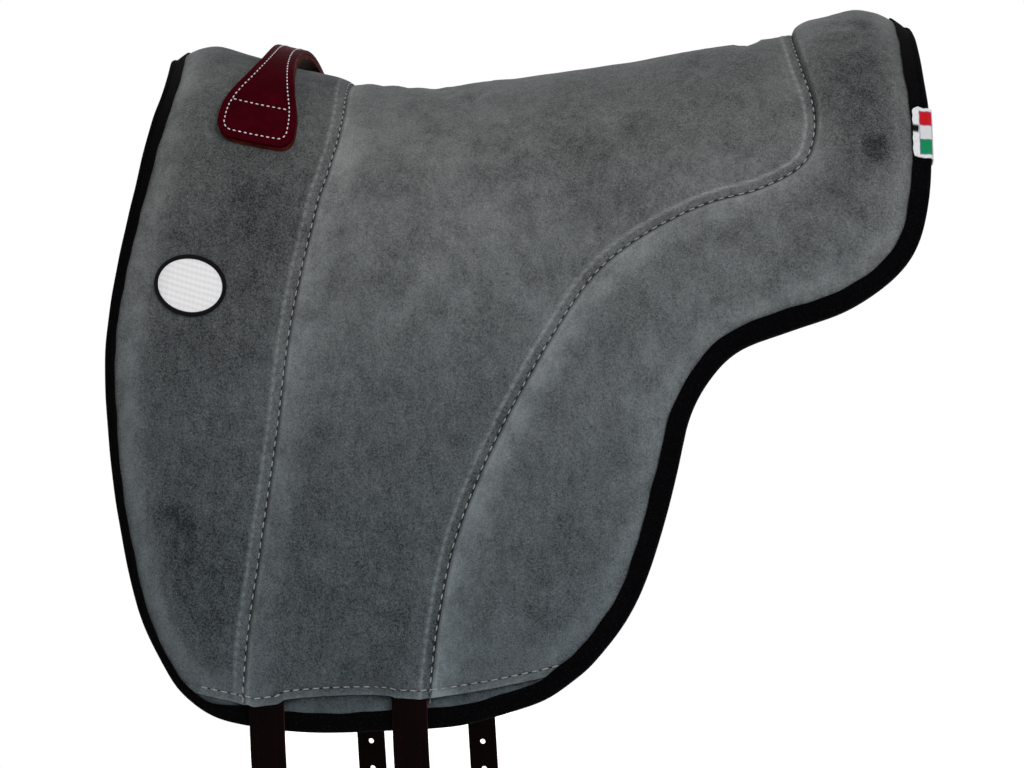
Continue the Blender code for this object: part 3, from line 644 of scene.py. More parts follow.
def creases(x, drop):
    """Depth of the short creases that the suede shows beside its seams."""
    found = np.zeros(np.shape(x))
    for start, end, depth, width in CREASES:
        across, share = along_segment(x, drop, start, end)
        found = found + depth * bump_at(across, 0, width) * within_ends(share, 0.25)
    return found


# Mesh helpers


def grid_of(columns, rows, thick):
    """A grid, given a thickness where asked, with each vertex's column and row and whether it is outer."""
    bm = bmesh.new()
    bmesh.ops.create_grid(bm, x_segments=columns, y_segments=rows, size=1)
    if thick:
        extruded = bmesh.ops.extrude_face_region(bm, geom=bm.faces[:])
        outer = [item for item in extruded["geom"] if isinstance(item, bmesh.types.BMVert)]
        bmesh.ops.translate(bm, verts=outer, vec=(0, 0, 1))
    spots = np.array([vert.co for vert in bm.verts])
    column = np.rint((spots[:, 0] + 1) / 2 * columns).astype(int)
    row = np.rint((spots[:, 1] + 1) / 2 * rows).astype(int)
    return bm, column, row, spots[:, 2] > 0.5


def grid_slab(columns, rows):
    """A thick grid, with each vertex's column and row and whether it is outer."""
    return grid_of(columns, rows, True)


def grid_ring(columns, rows):
    """A grid whose last column and row stand for its first, so that it can close both ways into a ring."""
    bm, column, row, _ = grid_of(columns, rows, False)
    return bm, column % columns, row % rows


def move_to(bm, places):
    for vert, place in zip(bm.verts, places):
        vert.co = place


def closed_outwards(bm):
    bmesh.ops.recalc_face_normals(bm, faces=bm.faces[:])
    if bm.calc_volume(signed=True) < 0:
        bmesh.ops.reverse_faces(bm, faces=bm.faces[:])


def remove(helper):
    """Deletes a helper object with its mesh."""
    mesh = helper.data
    bpy.data.objects.remove(helper, do_unlink=True)
    bpy.data.meshes.remove(mesh)


def shown(name, bm, finishes, values=None):
    """An object of the bmesh, with its finishes and its named values for each vertex."""
    mesh = bpy.data.meshes.new(name)
    bm.to_mesh(mesh)
    bm.free()
    for finish in finishes:
        mesh.materials.append(finish)
    for label, numbers in (values or {}).items():
        layer = mesh.attributes.new(label, "FLOAT", "POINT")
        layer.data.foreach_set("value", np.asarray(numbers, np.float32))
    mesh.shade_smooth()
    mesh.set_sharp_from_angle(angle=SHARP_ANGLE)
    made = bpy.data.objects.new(name, mesh)
    bpy.context.scene.collection.objects.link(made)
    return made


def round_edges(bm, offset, segments):
    """Rounds every edge of the bmesh that turns by more than the bevel angle."""
    sharp = [edge for edge in bm.edges if edge.is_manifold and edge.calc_face_angle(0) > BEVEL_ANGLE]
    bmesh.ops.bevel(
        bm, geom=sharp, offset=offset, offset_type="OFFSET", segments=segments, profile=0.5, affect="EDGES",
        material=-1, clamp_overlap=True,
    )


def stitch_mesh(slot):
    """One rounded length of thread, 2 across and 2 long, along Z."""
    bm = bmesh.new()
    bmesh.ops.create_uvsphere(bm, u_segments=8, v_segments=6, radius=1)
    for vert in bm.verts:
        vert.co.z = math.copysign(abs(vert.co.z) ** 0.72, vert.co.z)
    for face in bm.faces:
        face.material_index = slot
    mesh = bpy.data.meshes.new("stitch")
    bm.to_mesh(mesh)
    bm.free()
    return mesh


def sew(bm, line, outwards, pitch, length, width, slot=0, gap_slot=None):
    """Lays stitches along a line of places and, where they have a slot, dark capsules between them as painted
    shade of the needle holes.
    """
    at = pitch * (np.arange(int(run_along(line)[-1] / pitch + 0.5)) + 0.5)
    sewn = bmesh.new()
    lay_stitches(sewn, line, outwards, at, length, width, slot, 0)
    # Dark capsules sunk between the stitches: painted shade of the needle holes.
    if gap_slot is not None:
        gap = pitch - length + 0.0004
        lay_stitches(sewn, line, outwards, at[:-1] + pitch / 2, gap, width, gap_slot, -width / 3)
    mesh = bpy.data.meshes.new("sewn")
    sewn.to_mesh(mesh)
    sewn.free()
    bm.from_mesh(mesh)
    bpy.data.meshes.remove(mesh)


def lay_stitches(bm, line, outwards, at, length, width, slot, lift):
    """Copies of one stitch, their middles at these distances along the line."""
    run = run_along(line)

    def read(values, where):
        return np.stack([np.interp(where, run, values[:, axis]) for axis in range(3)], axis=-1)

    way = unit(read(line, at + length / 2) - read(line, at - length / 2))
    side = unit(np.cross(way, read(outwards, at)))
    out = unit(np.cross(side, way))
    middle = read(line, at) + out * lift
    stitch = stitch_mesh(slot)
    shape = np.array([vert.co for vert in stitch.vertices])
    first = len(bm.verts)
    for _ in at:
        bm.from_mesh(stitch)
    bpy.data.meshes.remove(stitch)
    axes = np.stack([side * width / 2, out * width * 0.42, way * length / 2], axis=1)
    places = (middle[:, None] + np.einsum("va,sac->svc", shape, axes)).reshape(-1, 3)
    bm.verts.ensure_lookup_table()
    for vert, place in zip(bm.verts[first:], places):
        vert.co = place


def laid_line(points, heights):
    """Places of a pattern line on the back, and the way out of the padding at each."""
    low = lay(points[:, 0], points[:, 1], heights)
    return low, lay(points[:, 0], points[:, 1], heights + 0.01) - low


# Finishes


class Finish:
    """A procedural material, built up node by node."""

    def __init__(self, name):
        self.material = bpy.data.materials.new(name)
        self.material.use_nodes = True
        self.tree = self.material.node_tree
        self.shader = self.tree.nodes["Principled BSDF"]

    def add(self, kind, **settings):
        node = self.tree.nodes.new(kind)
        for setting, value in settings.items():
            setattr(node, setting, value)
        return node

    def feed(self, socket, value):
        if isinstance(value, bpy.types.NodeSocket):
            self.tree.links.new(value, socket)
        else:
            socket.default_value = value

    def place(self, stretch=None):
        found = self.add("ShaderNodeTexCoord").outputs["Object"]
        if stretch is None:
            return found
        mapping = self.add("ShaderNodeMapping")
        self.feed(mapping.inputs["Vector"], found)
        mapping.inputs["Scale"].default_value = stretch
        return mapping.outputs["Vector"]

    def value(self, name):
        return self.add("ShaderNodeAttribute", attribute_name=name).outputs["Fac"]

    def noise(self, where, scale, detail=2.0, roughness=0.5):
        node = self.add("ShaderNodeTexNoise")
        self.feed(node.inputs["Vector"], where)
        node.inputs["Scale"].default_value = scale
        node.inputs["Detail"].default_value = detail
        node.inputs["Roughness"].default_value = roughness
        return node.outputs["Fac"]

    def cells(self, where, scale):
        node = self.add("ShaderNodeTexVoronoi", feature="F1")
        self.feed(node.inputs["Vector"], where)
        node.inputs["Scale"].default_value = scale
        return node.outputs["Distance"]

    def threads(self, where, direction, scale, distortion, detail):
        """Close parallel threads or ribs, from a wave texture."""
        node = self.add("ShaderNodeTexWave", bands_direction=direction)
        self.feed(node.inputs["Vector"], where)
        node.inputs["Scale"].default_value = scale
        node.inputs["Distortion"].default_value = distortion
        node.inputs["Detail"].default_value = detail
        return node.outputs["Fac"]

    def sum(self, *parts):
        """The sum of (value, factor) pairs."""
        total = None
        for value, factor in parts:
            node = self.add("ShaderNodeMath", operation="MULTIPLY_ADD")
            self.feed(node.inputs[0], value)
            node.inputs[1].default_value = factor
            self.feed(node.inputs[2], 0.0 if total is None else total)
            total = node.outputs[0]
        return total

    def math(self, operation, first, second=0.0):
        node = self.add("ShaderNodeMath", operation=operation)
        self.feed(node.inputs[0], first)
        self.feed(node.inputs[1], second)
        return node.outputs[0]

    def ripple(self, value, length):
        """A sine wave along the value, with one turn in each length."""
        return self.math("SINE", self.math("MULTIPLY", value, 2 * math.pi / length))

    def away(self, value, spot):
        """How far the value is from the spot."""
        return self.math("ABSOLUTE", self.math("SUBTRACT", value, spot))

    def past(self, value, edge, start=0.0, end=1.0):
        """The start before the edge and the end past it, with a soft step between."""
        return self.fit(value, edge - 0.0002, edge + 0.0002, start, end)

    def fit(self, value, low, high, start=0.0, end=1.0, smooth=True):
        node = self.add("ShaderNodeMapRange", interpolation_type="SMOOTHSTEP" if smooth else "LINEAR")
        self.feed(node.inputs["Value"], value)
        for socket, number in (("From Min", low), ("From Max", high), ("To Min", start), ("To Max", end)):
            node.inputs[socket].default_value = number
        return node.outputs["Result"]

    def mix(self, share, first, second):
        node = self.add("ShaderNodeMix", data_type="RGBA")
        self.feed(node.inputs["Factor"], share)
        self.feed(node.inputs[6], first if isinstance(first, bpy.types.NodeSocket) else (*first, 1))
        self.feed(node.inputs[7], second if isinstance(second, bpy.types.NodeSocket) else (*second, 1))
        return node.outputs[2]

    def height(self):
        """The height in the object's own space."""
        parts = self.add("ShaderNodeSeparateXYZ")
        self.feed(parts.inputs[0], self.place())
        return parts.outputs["Z"]

    def tinted(self, colour, tint):
        node = self.add("ShaderNodeMix", data_type="RGBA", blend_type="MULTIPLY")
        node.inputs["Factor"].default_value = 1
        self.feed(node.inputs[6], colour)
        node.inputs[7].default_value = (*tint, 1)
        return node.outputs[2]

    def relief(self, height, depth, strength=1.0, before=None):
        node = self.add("ShaderNodeBump")
        self.feed(node.inputs["Height"], height)
        node.inputs["Distance"].default_value = depth
        node.inputs["Strength"].default_value = strength
        if before is not None:
            self.feed(node.inputs["Normal"], before)
        return node.outputs["Normal"]

    def done(self, colour, roughness, normal=None, **sockets):
        self.feed(self.shader.inputs["Base Color"], colour)
        self.feed(self.shader.inputs["Roughness"], roughness)
        if normal is not None:
            self.feed(self.shader.inputs["Normal"], normal)
        for name, value in sockets.items():
            self.shader.inputs[name.replace("_", " ")].default_value = value
        return self.material


def suede_finish(name, dark, light, sheen):
    """Napped suede: grainy and brushed in patches, paler with painted highlights and some rub, darker with
    painted shade and a few dark spots, and darker and cooler lower down.
    """
    made = Finish(name)
    where = made.place()
    broad = made.noise(where, 11, 3, 0.6)
    patch = made.noise(where, 42, 5, 0.65)
    brushed = made.noise(made.place((1, 1, 0.5)), 150, 3, 0.6)
    nap = made.noise(where, 640, 3, 0.7)
    grain = made.noise(where, 1250, 2, 0.7)
    # Painted highlight: the puckers along the allowance's ridge are painted paler, and are also raised in the
    # bump.
    pucker = made.fit(made.ripple(made.value("run"), STITCH_PITCH), -1, 1, 0.35, 1.0)
    puff = made.math("MULTIPLY", pucker, made.value("gather"))
    # Painted light: the value read here is painted highlight and painted shade with some rub; the second
    # value read in the sum below is painted shade in the seam and hem grooves and under the hem, with a few
    # dark spots.
    patchy_rub_and_light = made.math("MULTIPLY", made.value("rub_and_painted_light"), made.fit(patch, 0.35, 0.65, 0.65, 1.25))
    tone = made.sum(
        (broad, 0.42), (patch, 0.50), (brushed, 0.42), (nap, 1.04), (grain, 1.04),
        (patchy_rub_and_light, 0.46), (made.value("spots_and_painted_shade"), -0.36), (puff, 0.44),
    )
    colour = made.mix(made.fit(tone, 1.26, 2.46, smooth=False), dark, light)
    low = made.fit(made.height(), -0.46, 0.04, 0.0, 1.0)
    colour = made.mix(low, made.tinted(colour, (0.74, 0.84, 0.91)), made.tinted(colour, (1.0, 1.0, 0.98)))
    soft = made.relief(made.sum((puff, 0.35), (patch, 0.5), (brushed, 0.5)), 0.0013, 0.7)
    fuzz = made.relief(made.sum((nap, 0.7), (grain, 0.7)), 0.0008, 0.9, soft)
    return made.done(
        colour, 0.95, fuzz, Sheen_Weight=sheen, Sheen_Roughness=0.45, Sheen_Tint=(0.84, 0.87, 0.89, 1),
        Specular_IOR_Level=0.05,
    )


def leather_finish(name, dark, light, roughness, grain_depth, shine_level):
    """Smooth bridle leather with a fine grain, darker and duller in its pores."""
    made = Finish(name)
    where = made.place()
    pores = made.cells(where, 1500)
    wrinkle = made.noise(where, 380, 4, 0.65)
    cloud = made.noise(where, 60, 4, 0.65)
    tone = made.sum((cloud, 0.75), (wrinkle, 0.5), (pores, 0.25))
    colour = made.mix(made.fit(tone, 0.35, 1.05, smooth=False), dark, light)
    normal = made.relief(made.sum((pores, 0.5), (wrinkle, 0.8)), grain_depth, 0.5)
    shine = made.fit(wrinkle, 0.3, 0.7, roughness - 0.06, roughness + 0.09)
    return made.done(colour, shine, normal, Specular_IOR_Level=shine_level)


def raw_edge_finish():
    """The cut edges of thick leather: burnished brown layers with fibres along them."""
    made = Finish("handle_lining_leather")
    layers = made.noise(made.place((0.5, 0.5, 3.0)), 420, 3, 0.6)
    cloud = made.noise(made.place(), 90, 3, 0.5)
    tone = made.sum((layers, 0.7), (cloud, 0.6))
    colour = made.mix(made.fit(tone, 0.4, 0.95, smooth=False), (0.028, 0.0035, 0.0035), (0.120, 0.022, 0.013))
    normal = made.relief(layers, 0.0004, 0.6)
    return made.done(colour, made.fit(layers, 0.3, 0.7, 0.6, 0.8), normal, Specular_IOR_Level=0.01)


def thread_finish(name, dark, light, sheen=0.02):
    """Twisted thread: light strands with darker turns between them."""
    made = Finish(name)
    twist = made.noise(made.place(), 1900, 2, 0.5)
    colour = made.mix(made.fit(twist, 0.35, 0.65), dark, light)
    normal = made.relief(twist, 0.0002, 0.6)
    return made.done(colour, 0.7, normal, Sheen_Weight=sheen, Specular_IOR_Level=sheen)


def tape_finish():
    """Black binding with a short pile: dull, with fine pale fibres that catch the light."""
    made = Finish("black_binding_tape")
    where = made.place()
    pile = made.noise(where, 1500, 2, 0.7)
    ribs = made.ripple(made.value("along"), TAPE_RIB)
    lint = made.fit(made.noise(where, 2300, 1, 0.5), 0.66, 0.80)
    colour = made.mix(pile, (0.0005, 0.0005, 0.0007), (0.0022, 0.0022, 0.0028))
    colour = made.mix(lint, colour, (0.040, 0.040, 0.044))
    normal = made.relief(made.sum((pile, 0.8), (ribs, 0.22)), 0.0006, 0.8)
    return made.done(colour, 0.95, normal, Sheen_Weight=0.01, Sheen_Roughness=0.4, Specular_IOR_Level=0.015)


def felt_finish():
    """Dense dark felt against the horse: matted fibres with a few paler ones."""
    made = Finish("lining_felt")
    where = made.place()
    matted = made.noise(where, 240, 5, 0.75)
    fibres = made.noise(made.place((1, 1, 4)), 900, 3, 0.7)
    cloud = made.noise(where, 22, 2, 0.5)
    tone = made.sum((matted, 0.6), (fibres, 0.5), (cloud, 0.4))
    colour = made.mix(made.fit(tone, 0.45, 1.05), (0.030, 0.030, 0.033), (0.085, 0.085, 0.090))
    normal = made.relief(made.sum((matted, 0.7), (fibres, 0.5)), 0.0010, 0.8)
    return made.done(colour, 0.96, normal, Sheen_Weight=0.3, Sheen_Roughness=0.6, Specular_IOR_Level=0.12)


def webbing_finish():
    """Black nylon webbing: close ribs across the band."""
    made = Finish("nylon_webbing")
    ribs = made.threads(made.place(), "DIAGONAL", 260, 0.6, 2)
    tone = made.sum((ribs, 0.6), (made.noise(made.place(), 1300, 2, 0.5), 0.4))
    colour = made.mix(tone, (0.006, 0.006, 0.007), (0.030, 0.030, 0.033))
    return made.done(colour, 0.55, made.relief(ribs, 0.0004, 0.7), Specular_IOR_Level=0.4)


def satin_finish():
    """White satin stitching laid close in rows, a little grey between the strands."""
    made = Finish("white_satin_stitch")
    strands = made.threads(made.place((1, 0.4, 0.12)), "X", 330, 1.2, 1)
    rows = made.ripple(made.value("down"), SATIN_ROW)
    fleck = made.noise(made.place(), 700, 2)
    tone = made.sum((strands, 0.5), (made.fit(rows, -1, 1), 0.25), (fleck, 0.25))
    colour = made.mix(made.fit(tone, 0.15, 0.75), (0.74, 0.74, 0.76), (0.95, 0.95, 0.95))
    normal = made.relief(made.sum((strands, 0.7), (rows, 0.3)), 0.0004, 0.6)
    return made.done(colour, 0.62, normal, Sheen_Weight=0.2, Specular_IOR_Level=0.3)


def merrow_finish():
    """The badge's overcast edge: dark thread wound close round the rim."""
    made = Finish("dark_overcast_edge")
    turns = made.sum((made.value("along"), 2 * math.pi / OVERCAST_PITCH), (made.value("round"), 2.2))
    wound = made.math("SINE", turns)
    fleck = made.noise(made.place(), 1600, 2, 0.5)
    tone = made.sum((made.fit(wound, -1, 1), 0.7), (fleck, 0.5))
    colour = made.mix(made.fit(tone, 0.2, 1.0), (0.0010, 0.0010, 0.0020), (0.010, 0.010, 0.014))
    return made.done(colour, 0.6, made.relief(wound, 0.0003, 0.8), Specular_IOR_Level=0.06)


def woven_finish():
    """The label's cloth: close white weave with plain red, white and green blocks, thinly outlined."""
    made = Finish("woven_label")
    along, across = made.value("along"), made.value("across")
    from_middle = made.math("ABSOLUTE", along)
    inner = made.sum((across, 1), (made.noise(made.place(), 420, 2), 0.0008))
    block = made.past(inner, LABEL_BLOCK_FOOT, 1, 0)
    block = made.math("MULTIPLY", made.past(across, LABEL_BLOCK_TOP), block)
    block = made.math("MULTIPLY", block, made.past(from_middle, LABEL_BLOCK_END, 1, 0))
    blocks = made.mix(made.past(along, -LABEL_BLOCK_SPLIT, 1, 0), (0.78, 0.78, 0.80), (0.62, 0.001, 0.006))
    blocks = made.mix(made.past(along, LABEL_BLOCK_SPLIT), blocks, (0.001, 0.27, 0.095))
    weave = made.math("MULTIPLY", made.ripple(across, 0.0007), made.ripple(along, 0.0006))
    ends = (-LABEL_BLOCK_END, -LABEL_BLOCK_SPLIT, LABEL_BLOCK_SPLIT, LABEL_BLOCK_END)
    drawn = [line_at(made, along, spot) for spot in ends]
    drawn += [line_at(made, across, spot) for spot in (LABEL_BLOCK_TOP, LABEL_BLOCK_FOOT - 0.0005)]
    outline = drawn[0]
    for line in drawn[1:]:
        outline = made.math("MAXIMUM", outline, line)
    outer_foot = made.past(inner, LABEL_BLOCK_FOOT + 0.0004, 1, 0)
    within = made.math("MULTIPLY", outer_foot, made.fit(across, 0.0030, 0.0033))
    within = made.math("MULTIPLY", within, made.past(from_middle, LABEL_BLOCK_END + 0.0005, 1, 0))
    outline = made.math("MULTIPLY", made.math("MULTIPLY", outline, within), 0.70)
    fleck = made.fit(made.noise(made.place(), 900, 3), 0.3, 0.7)
    ground = made.mix(fleck, (0.80, 0.80, 0.83), (0.95, 0.95, 0.95))
    colour = made.mix(outline, made.mix(block, ground, blocks), (0.18, 0.12, 0.38))
    colour = made.mix(made.fit(weave, -1, 1, 0.16, 0.0), colour, (0.08, 0.08, 0.09))
    bitten = made.fit(made.away(along, -0.0022), 0.0016, 0.0040, 1, 0)
    worn = made.math("MULTIPLY", bitten, made.fit(inner, 0.0146, 0.0152))
    colour = made.mix(worn, colour, (0.002, 0.002, 0.003))
    normal = made.relief(weave, 0.0003, 0.6)
    return made.done(colour, 0.75, normal, Sheen_Weight=0.03, Specular_IOR_Level=0.05)


def line_at(made, value, spot):
    """1 on a thin line where the value is at the spot."""
    return made.fit(made.away(value, spot), 0.00025, 0.00055, 1, 0)


# Covers


def row_stations():
    """Stations of the covers' rows on one side, closer together at the hem."""
    even = np.arange((LAST_STATION - 1) * ROWS_PER_STATION + 1) / ROWS_PER_STATION
    t = np.linspace(0, 1, HEM_ROWS + 1)[1:]
    return np.concatenate([even, LAST_STATION - (1 - t) ** 1.6])


def cover_grid(panel, stations, columns, lip=1):
    """Pattern points of a panel, in even columns or, with None, in columns closer at the borders."""
    start, end = on_line(LINES[panel], stations), on_line(LINES[panel + 1], stations)
    way = end - start
    width = np.linalg.norm(way, axis=1)
    along = way / width[:, None]
    if columns is None:
        first = last = np.tile(SEAM_BAND, (len(width), 1))
        if panel == FRONT:
            first = np.array(EDGE_BAND) / edge_sine(LINES[0], stations, along)[:, None]
        elif panel == REAR:
            last = np.array(EDGE_BAND) / edge_sine(LINES[3], stations, along)[:, None]
        spare = width - first[:, -1] - last[:, -1]
        share = np.linspace(0, 1, MIDDLE_COLUMNS[panel] + 1)[1:-1]
        middle = first[:, -1:] + spare[:, None] * share
        distance = np.hstack([first, middle, width[:, None] - last[:, ::-1]])
    else:
        distance = width[:, None] * np.linspace(0, 1, columns + 1)
    share = distance / width[:, None]
    points = start[:, None] + way[:, None] * share[..., None]
    if panel == SEAT:
        low = (stations[:, None] / LAST_STATION) ** HEM_BOW_POWER
        points[..., 1] -= HEM_BOW * 4 * share * (1 - share) * low
        drawn = np.interp(points[..., 0], LIP[:, 0], LIP[:, 1]) - hem_drop(points[..., 0])
        points[..., 1] += lip * drawn * eased((stations[:, None] - LAST_STATION + 0.4) / 0.4)
    for column, line, hand in ((0, LINES[panel], 1), (-1, LINES[panel + 1], -1)):
        if (panel, column) in ((FRONT, 0), (REAR, -1)):
            continue
        ahead = line_way(line, stations)
        points[:, column] += hand * SEAM_GAP / 2 * np.stack([ahead[:, 1], -ahead[:, 0]], axis=-1)
    return points


def simulated(copy, pressure):
    """Places of the copy's vertices after a short cloth simulation, after which the copy is removed."""
    cloth = copy.modifiers.new("stuffing", "CLOTH")
    for setting, value in CLOTH_SETTINGS.items():
        setattr(cloth.settings, setting, value)
    cloth.settings.uniform_pressure_force = pressure
    cloth.settings.effector_weights.gravity = 0
    cloth.collision_settings.use_collision = False
    cloth.point_cache.frame_start = 1
    cloth.point_cache.frame_end = SWELL_FRAMES
    scene = bpy.context.scene
    for step in range(SWELL_FRAMES):
        scene.frame_set(step + 1)
    result = copy.evaluated_get(bpy.context.evaluated_depsgraph_get()).to_mesh()
    settled = np.empty(len(result.vertices) * 3, np.float32)
    result.vertices.foreach_get("co", settled)
    scene.frame_set(1)
    remove(copy)
    return settled.reshape(-1, 3)


def swelling(panel, sizes):
    """How much the stuffed cover swells, from the simulation of an even copy, on that copy's grid."""
    rows, columns = SWELL_ROWS, SWELL_COLUMNS[panel]
    points = cover_grid(panel, np.linspace(0, LAST_STATION, rows + 1), columns)
    near = distances(points[..., 0], points[..., 1])
    heights = skin(points[..., 0], points[..., 1], panel, near)
    bm, column, row, outer = grid_slab(columns, 2 * rows)
    side = np.where(row < rows, NEAR, FAR)
    line = np.abs(row - rows)
    spots = points[line, column]
    height = np.where(outer, heights[line, column] - sizes.stuffing_room, LINING_THICKNESS + LAYER_GAP)
    rest = lay(spots[:, 0], side * spots[:, 1], height)
    move_to(bm, rest)
    closed_outwards(bm)
    copy = shown("swelling_copy", bm, [])
    free = looseness(spots[:, 0], side * spots[:, 1], [part[line, column] for part in near], panel)
    held = copy.vertex_groups.new(name="held")
    for weight, members in ((1.0, ~outer | (free < 0.02)), (0.4, outer & (free >= 0.02) & (free < 0.3))):
        held.add([int(index) for index in np.flatnonzero(members)], weight, "REPLACE")
    settled = simulated(copy, sizes.stuffing_pressure)
    outwards = lay(spots[:, 0], side * spots[:, 1], height + 1) - rest
    moved = ((settled - rest) * outwards).sum(axis=1)
    moved = sizes.swell_cap * np.tanh(moved / sizes.swell_cap)
    found = np.zeros((2 * rows + 1, columns + 1))
    found[row[outer], column[outer]] = moved[outer]
    return found


def read_grid(grid, row, column):
    """Values of a grid between its points, for fractional rows and columns."""
    low_row = np.clip(row.astype(int), 0, grid.shape[0] - 2)
    low_column = np.clip(column.astype(int), 0, grid.shape[1] - 2)
    r, c = row - low_row, column - low_column
    r, c = r * r * (3 - 2 * r), c * c * (3 - 2 * c)
    top = grid[low_row, low_column] * (1 - c) + grid[low_row, low_column + 1] * c
    low = grid[low_row + 1, low_column] * (1 - c) + grid[low_row + 1, low_column + 1] * c
    return top * (1 - r) + low * r


# Dark round spots on the suede: x, drop, radius and how dark.
DARK_SPOTS = ((0.2985, -0.061, 0.0085, 0.6), (0.2963, -0.172, 0.0100, 0.62), (-0.214, -0.405, 0.012, 0.30))


def painted_light_rub_and_spots(panel, x, drop, near):
    """How much paler or darker the nap is painted: painted highlights on rolled seams, ridges, the hem, the
    rim and parts of each panel, with some rub; painted shade on other parts of each panel, in the stitch
    grooves and beside the seams; and a few dark spots.
    """
    to_hem, to_edge = near[2:]
    to_seam = own_seam(panel, near)
    flat = pressed(panel, near)
    deep = np.abs(drop)
    # Painted highlight on the rolled side of each seam, where the roll turns to the light.
    rolled = 0.72 - 0.26 * eased((deep - 0.18) / 0.14)
    if panel == REAR:
        rolled = 0.94 * eased((deep - 0.08) / 0.12)
    rub_and_painted_light = (1 - flat) * np.maximum(rolled, 0.30) * (1 - eased((to_seam - 0.0015) / 0.026)) ** 1.2
    # Paler nap on the pressed allowance's ridge, near the stitches, on the hem and on the rolled rim: painted
    # highlights, with some rub.
    rub_and_painted_light = rub_and_painted_light + flat * 0.30 * bump_at(to_seam, 0.0078, 0.0014)
    rub_and_painted_light = rub_and_painted_light + flat * 0.08 * (1 - eased((to_seam - 0.009) / 0.020))
    rub_and_painted_light = rub_and_painted_light + 0.06 * (1 - eased((to_hem - 0.002) / 0.020)) + 0.5 * bump_at(to_hem, 0.0, 0.0018)
    rub_and_painted_light = rub_and_painted_light + 0.36 * bump_at(to_edge, 0.020, 0.009)
    # Painted light and shade by panel and depth: darker near the spine, low on the flaps, over most of the
    # front panel and at the seat's rear top; lighter across the middle of the seat and part way down the rear
    # flap.
    if panel == FRONT:
        rub_and_painted_light = rub_and_painted_light - (0.32 + 0.10 * eased((deep - 0.10) / 0.16)) * (1 - bump_at(to_edge, 0.012, 0.018))
        rub_and_painted_light = rub_and_painted_light - 0.70 * (1 - eased((deep - 0.02) / 0.05)) - 0.18 * eased((deep - 0.40) / 0.10)
    elif panel == SEAT:
        rub_and_painted_light = rub_and_painted_light + 0.26 * (1 - eased((deep - 0.14) / 0.20)) * eased((deep - 0.01) / 0.10)
        rub_and_painted_light = rub_and_painted_light - 0.38 * (1 - eased((deep - 0.04) / 0.08)) - 0.40 * eased((deep - 0.20) / 0.26)
        rub_and_painted_light = rub_and_painted_light - 0.36 * eased((x + 0.03) / 0.18) * (1 - eased((deep - 0.11) / 0.10))
    else:
        rub_and_painted_light = rub_and_painted_light + 0.12 * eased((deep - 0.18) / 0.08) - 0.50 * (1 - eased((deep - 0.12) / 0.12))
        rub_and_painted_light = rub_and_painted_light - 0.20 * eased((deep - 0.26) / 0.16)
    # Painted highlight on the raised side of the crease beside the rear seam.
    across, share = along_segment(x, drop, *CREASES[0][:2])
    rub_and_painted_light = rub_and_painted_light + 0.3 * bump_at(across, 0.004, 0.002) * within_ends(share, 0.2)
    # Painted shade in the stitch grooves of the seams and along the hem's stitch line.
    spots_and_painted_shade = 0.55 * bump_at(to_seam, 0.0008, 0.0010) + 0.4 * bump_at(to_hem, HEM_STITCH_LINE, 0.0010)
    # The pressed band between the stitches and the allowance's ridge: lighter on the front panel, painted
    # shade on the seat and rear.
    pressed_band = flat * (1 - eased((to_seam - 0.0052) / 0.0018))
    if panel == FRONT:
        rub_and_painted_light = rub_and_painted_light + 0.30 * pressed_band
    else:
        spots_and_painted_shade = spots_and_painted_shade + 0.12 * pressed_band
    # Painted highlight on the crest of each rolled side, close to the stitches.
    rub_and_painted_light = rub_and_painted_light + (1 - flat) * 0.42 * bump_at(to_seam, 0.0028, 0.0011)
    for spot_x, spot_drop, radius, depth in DARK_SPOTS:
        away = np.hypot(x - spot_x, drop - spot_drop)
        spots_and_painted_shade = spots_and_painted_shade + depth * (1 - eased((away - radius * 0.45) / (radius * 0.9)))
    return rub_and_painted_light, spots_and_painted_shade


def seam_run(stations, panel, share):
    """Distance along the nearer seam, for the puckers that its stitches draw."""
    runs = [
        np.interp(stations * LINE_STEPS, np.arange(len(line)), run_along(line))[:, None]
        for line in (LINES[1], LINES[2])
    ]
    if panel == SEAT:
        return np.where(share < 0.5, runs[0], runs[1])
    return runs[0 if panel == FRONT else 1] + 0 * share


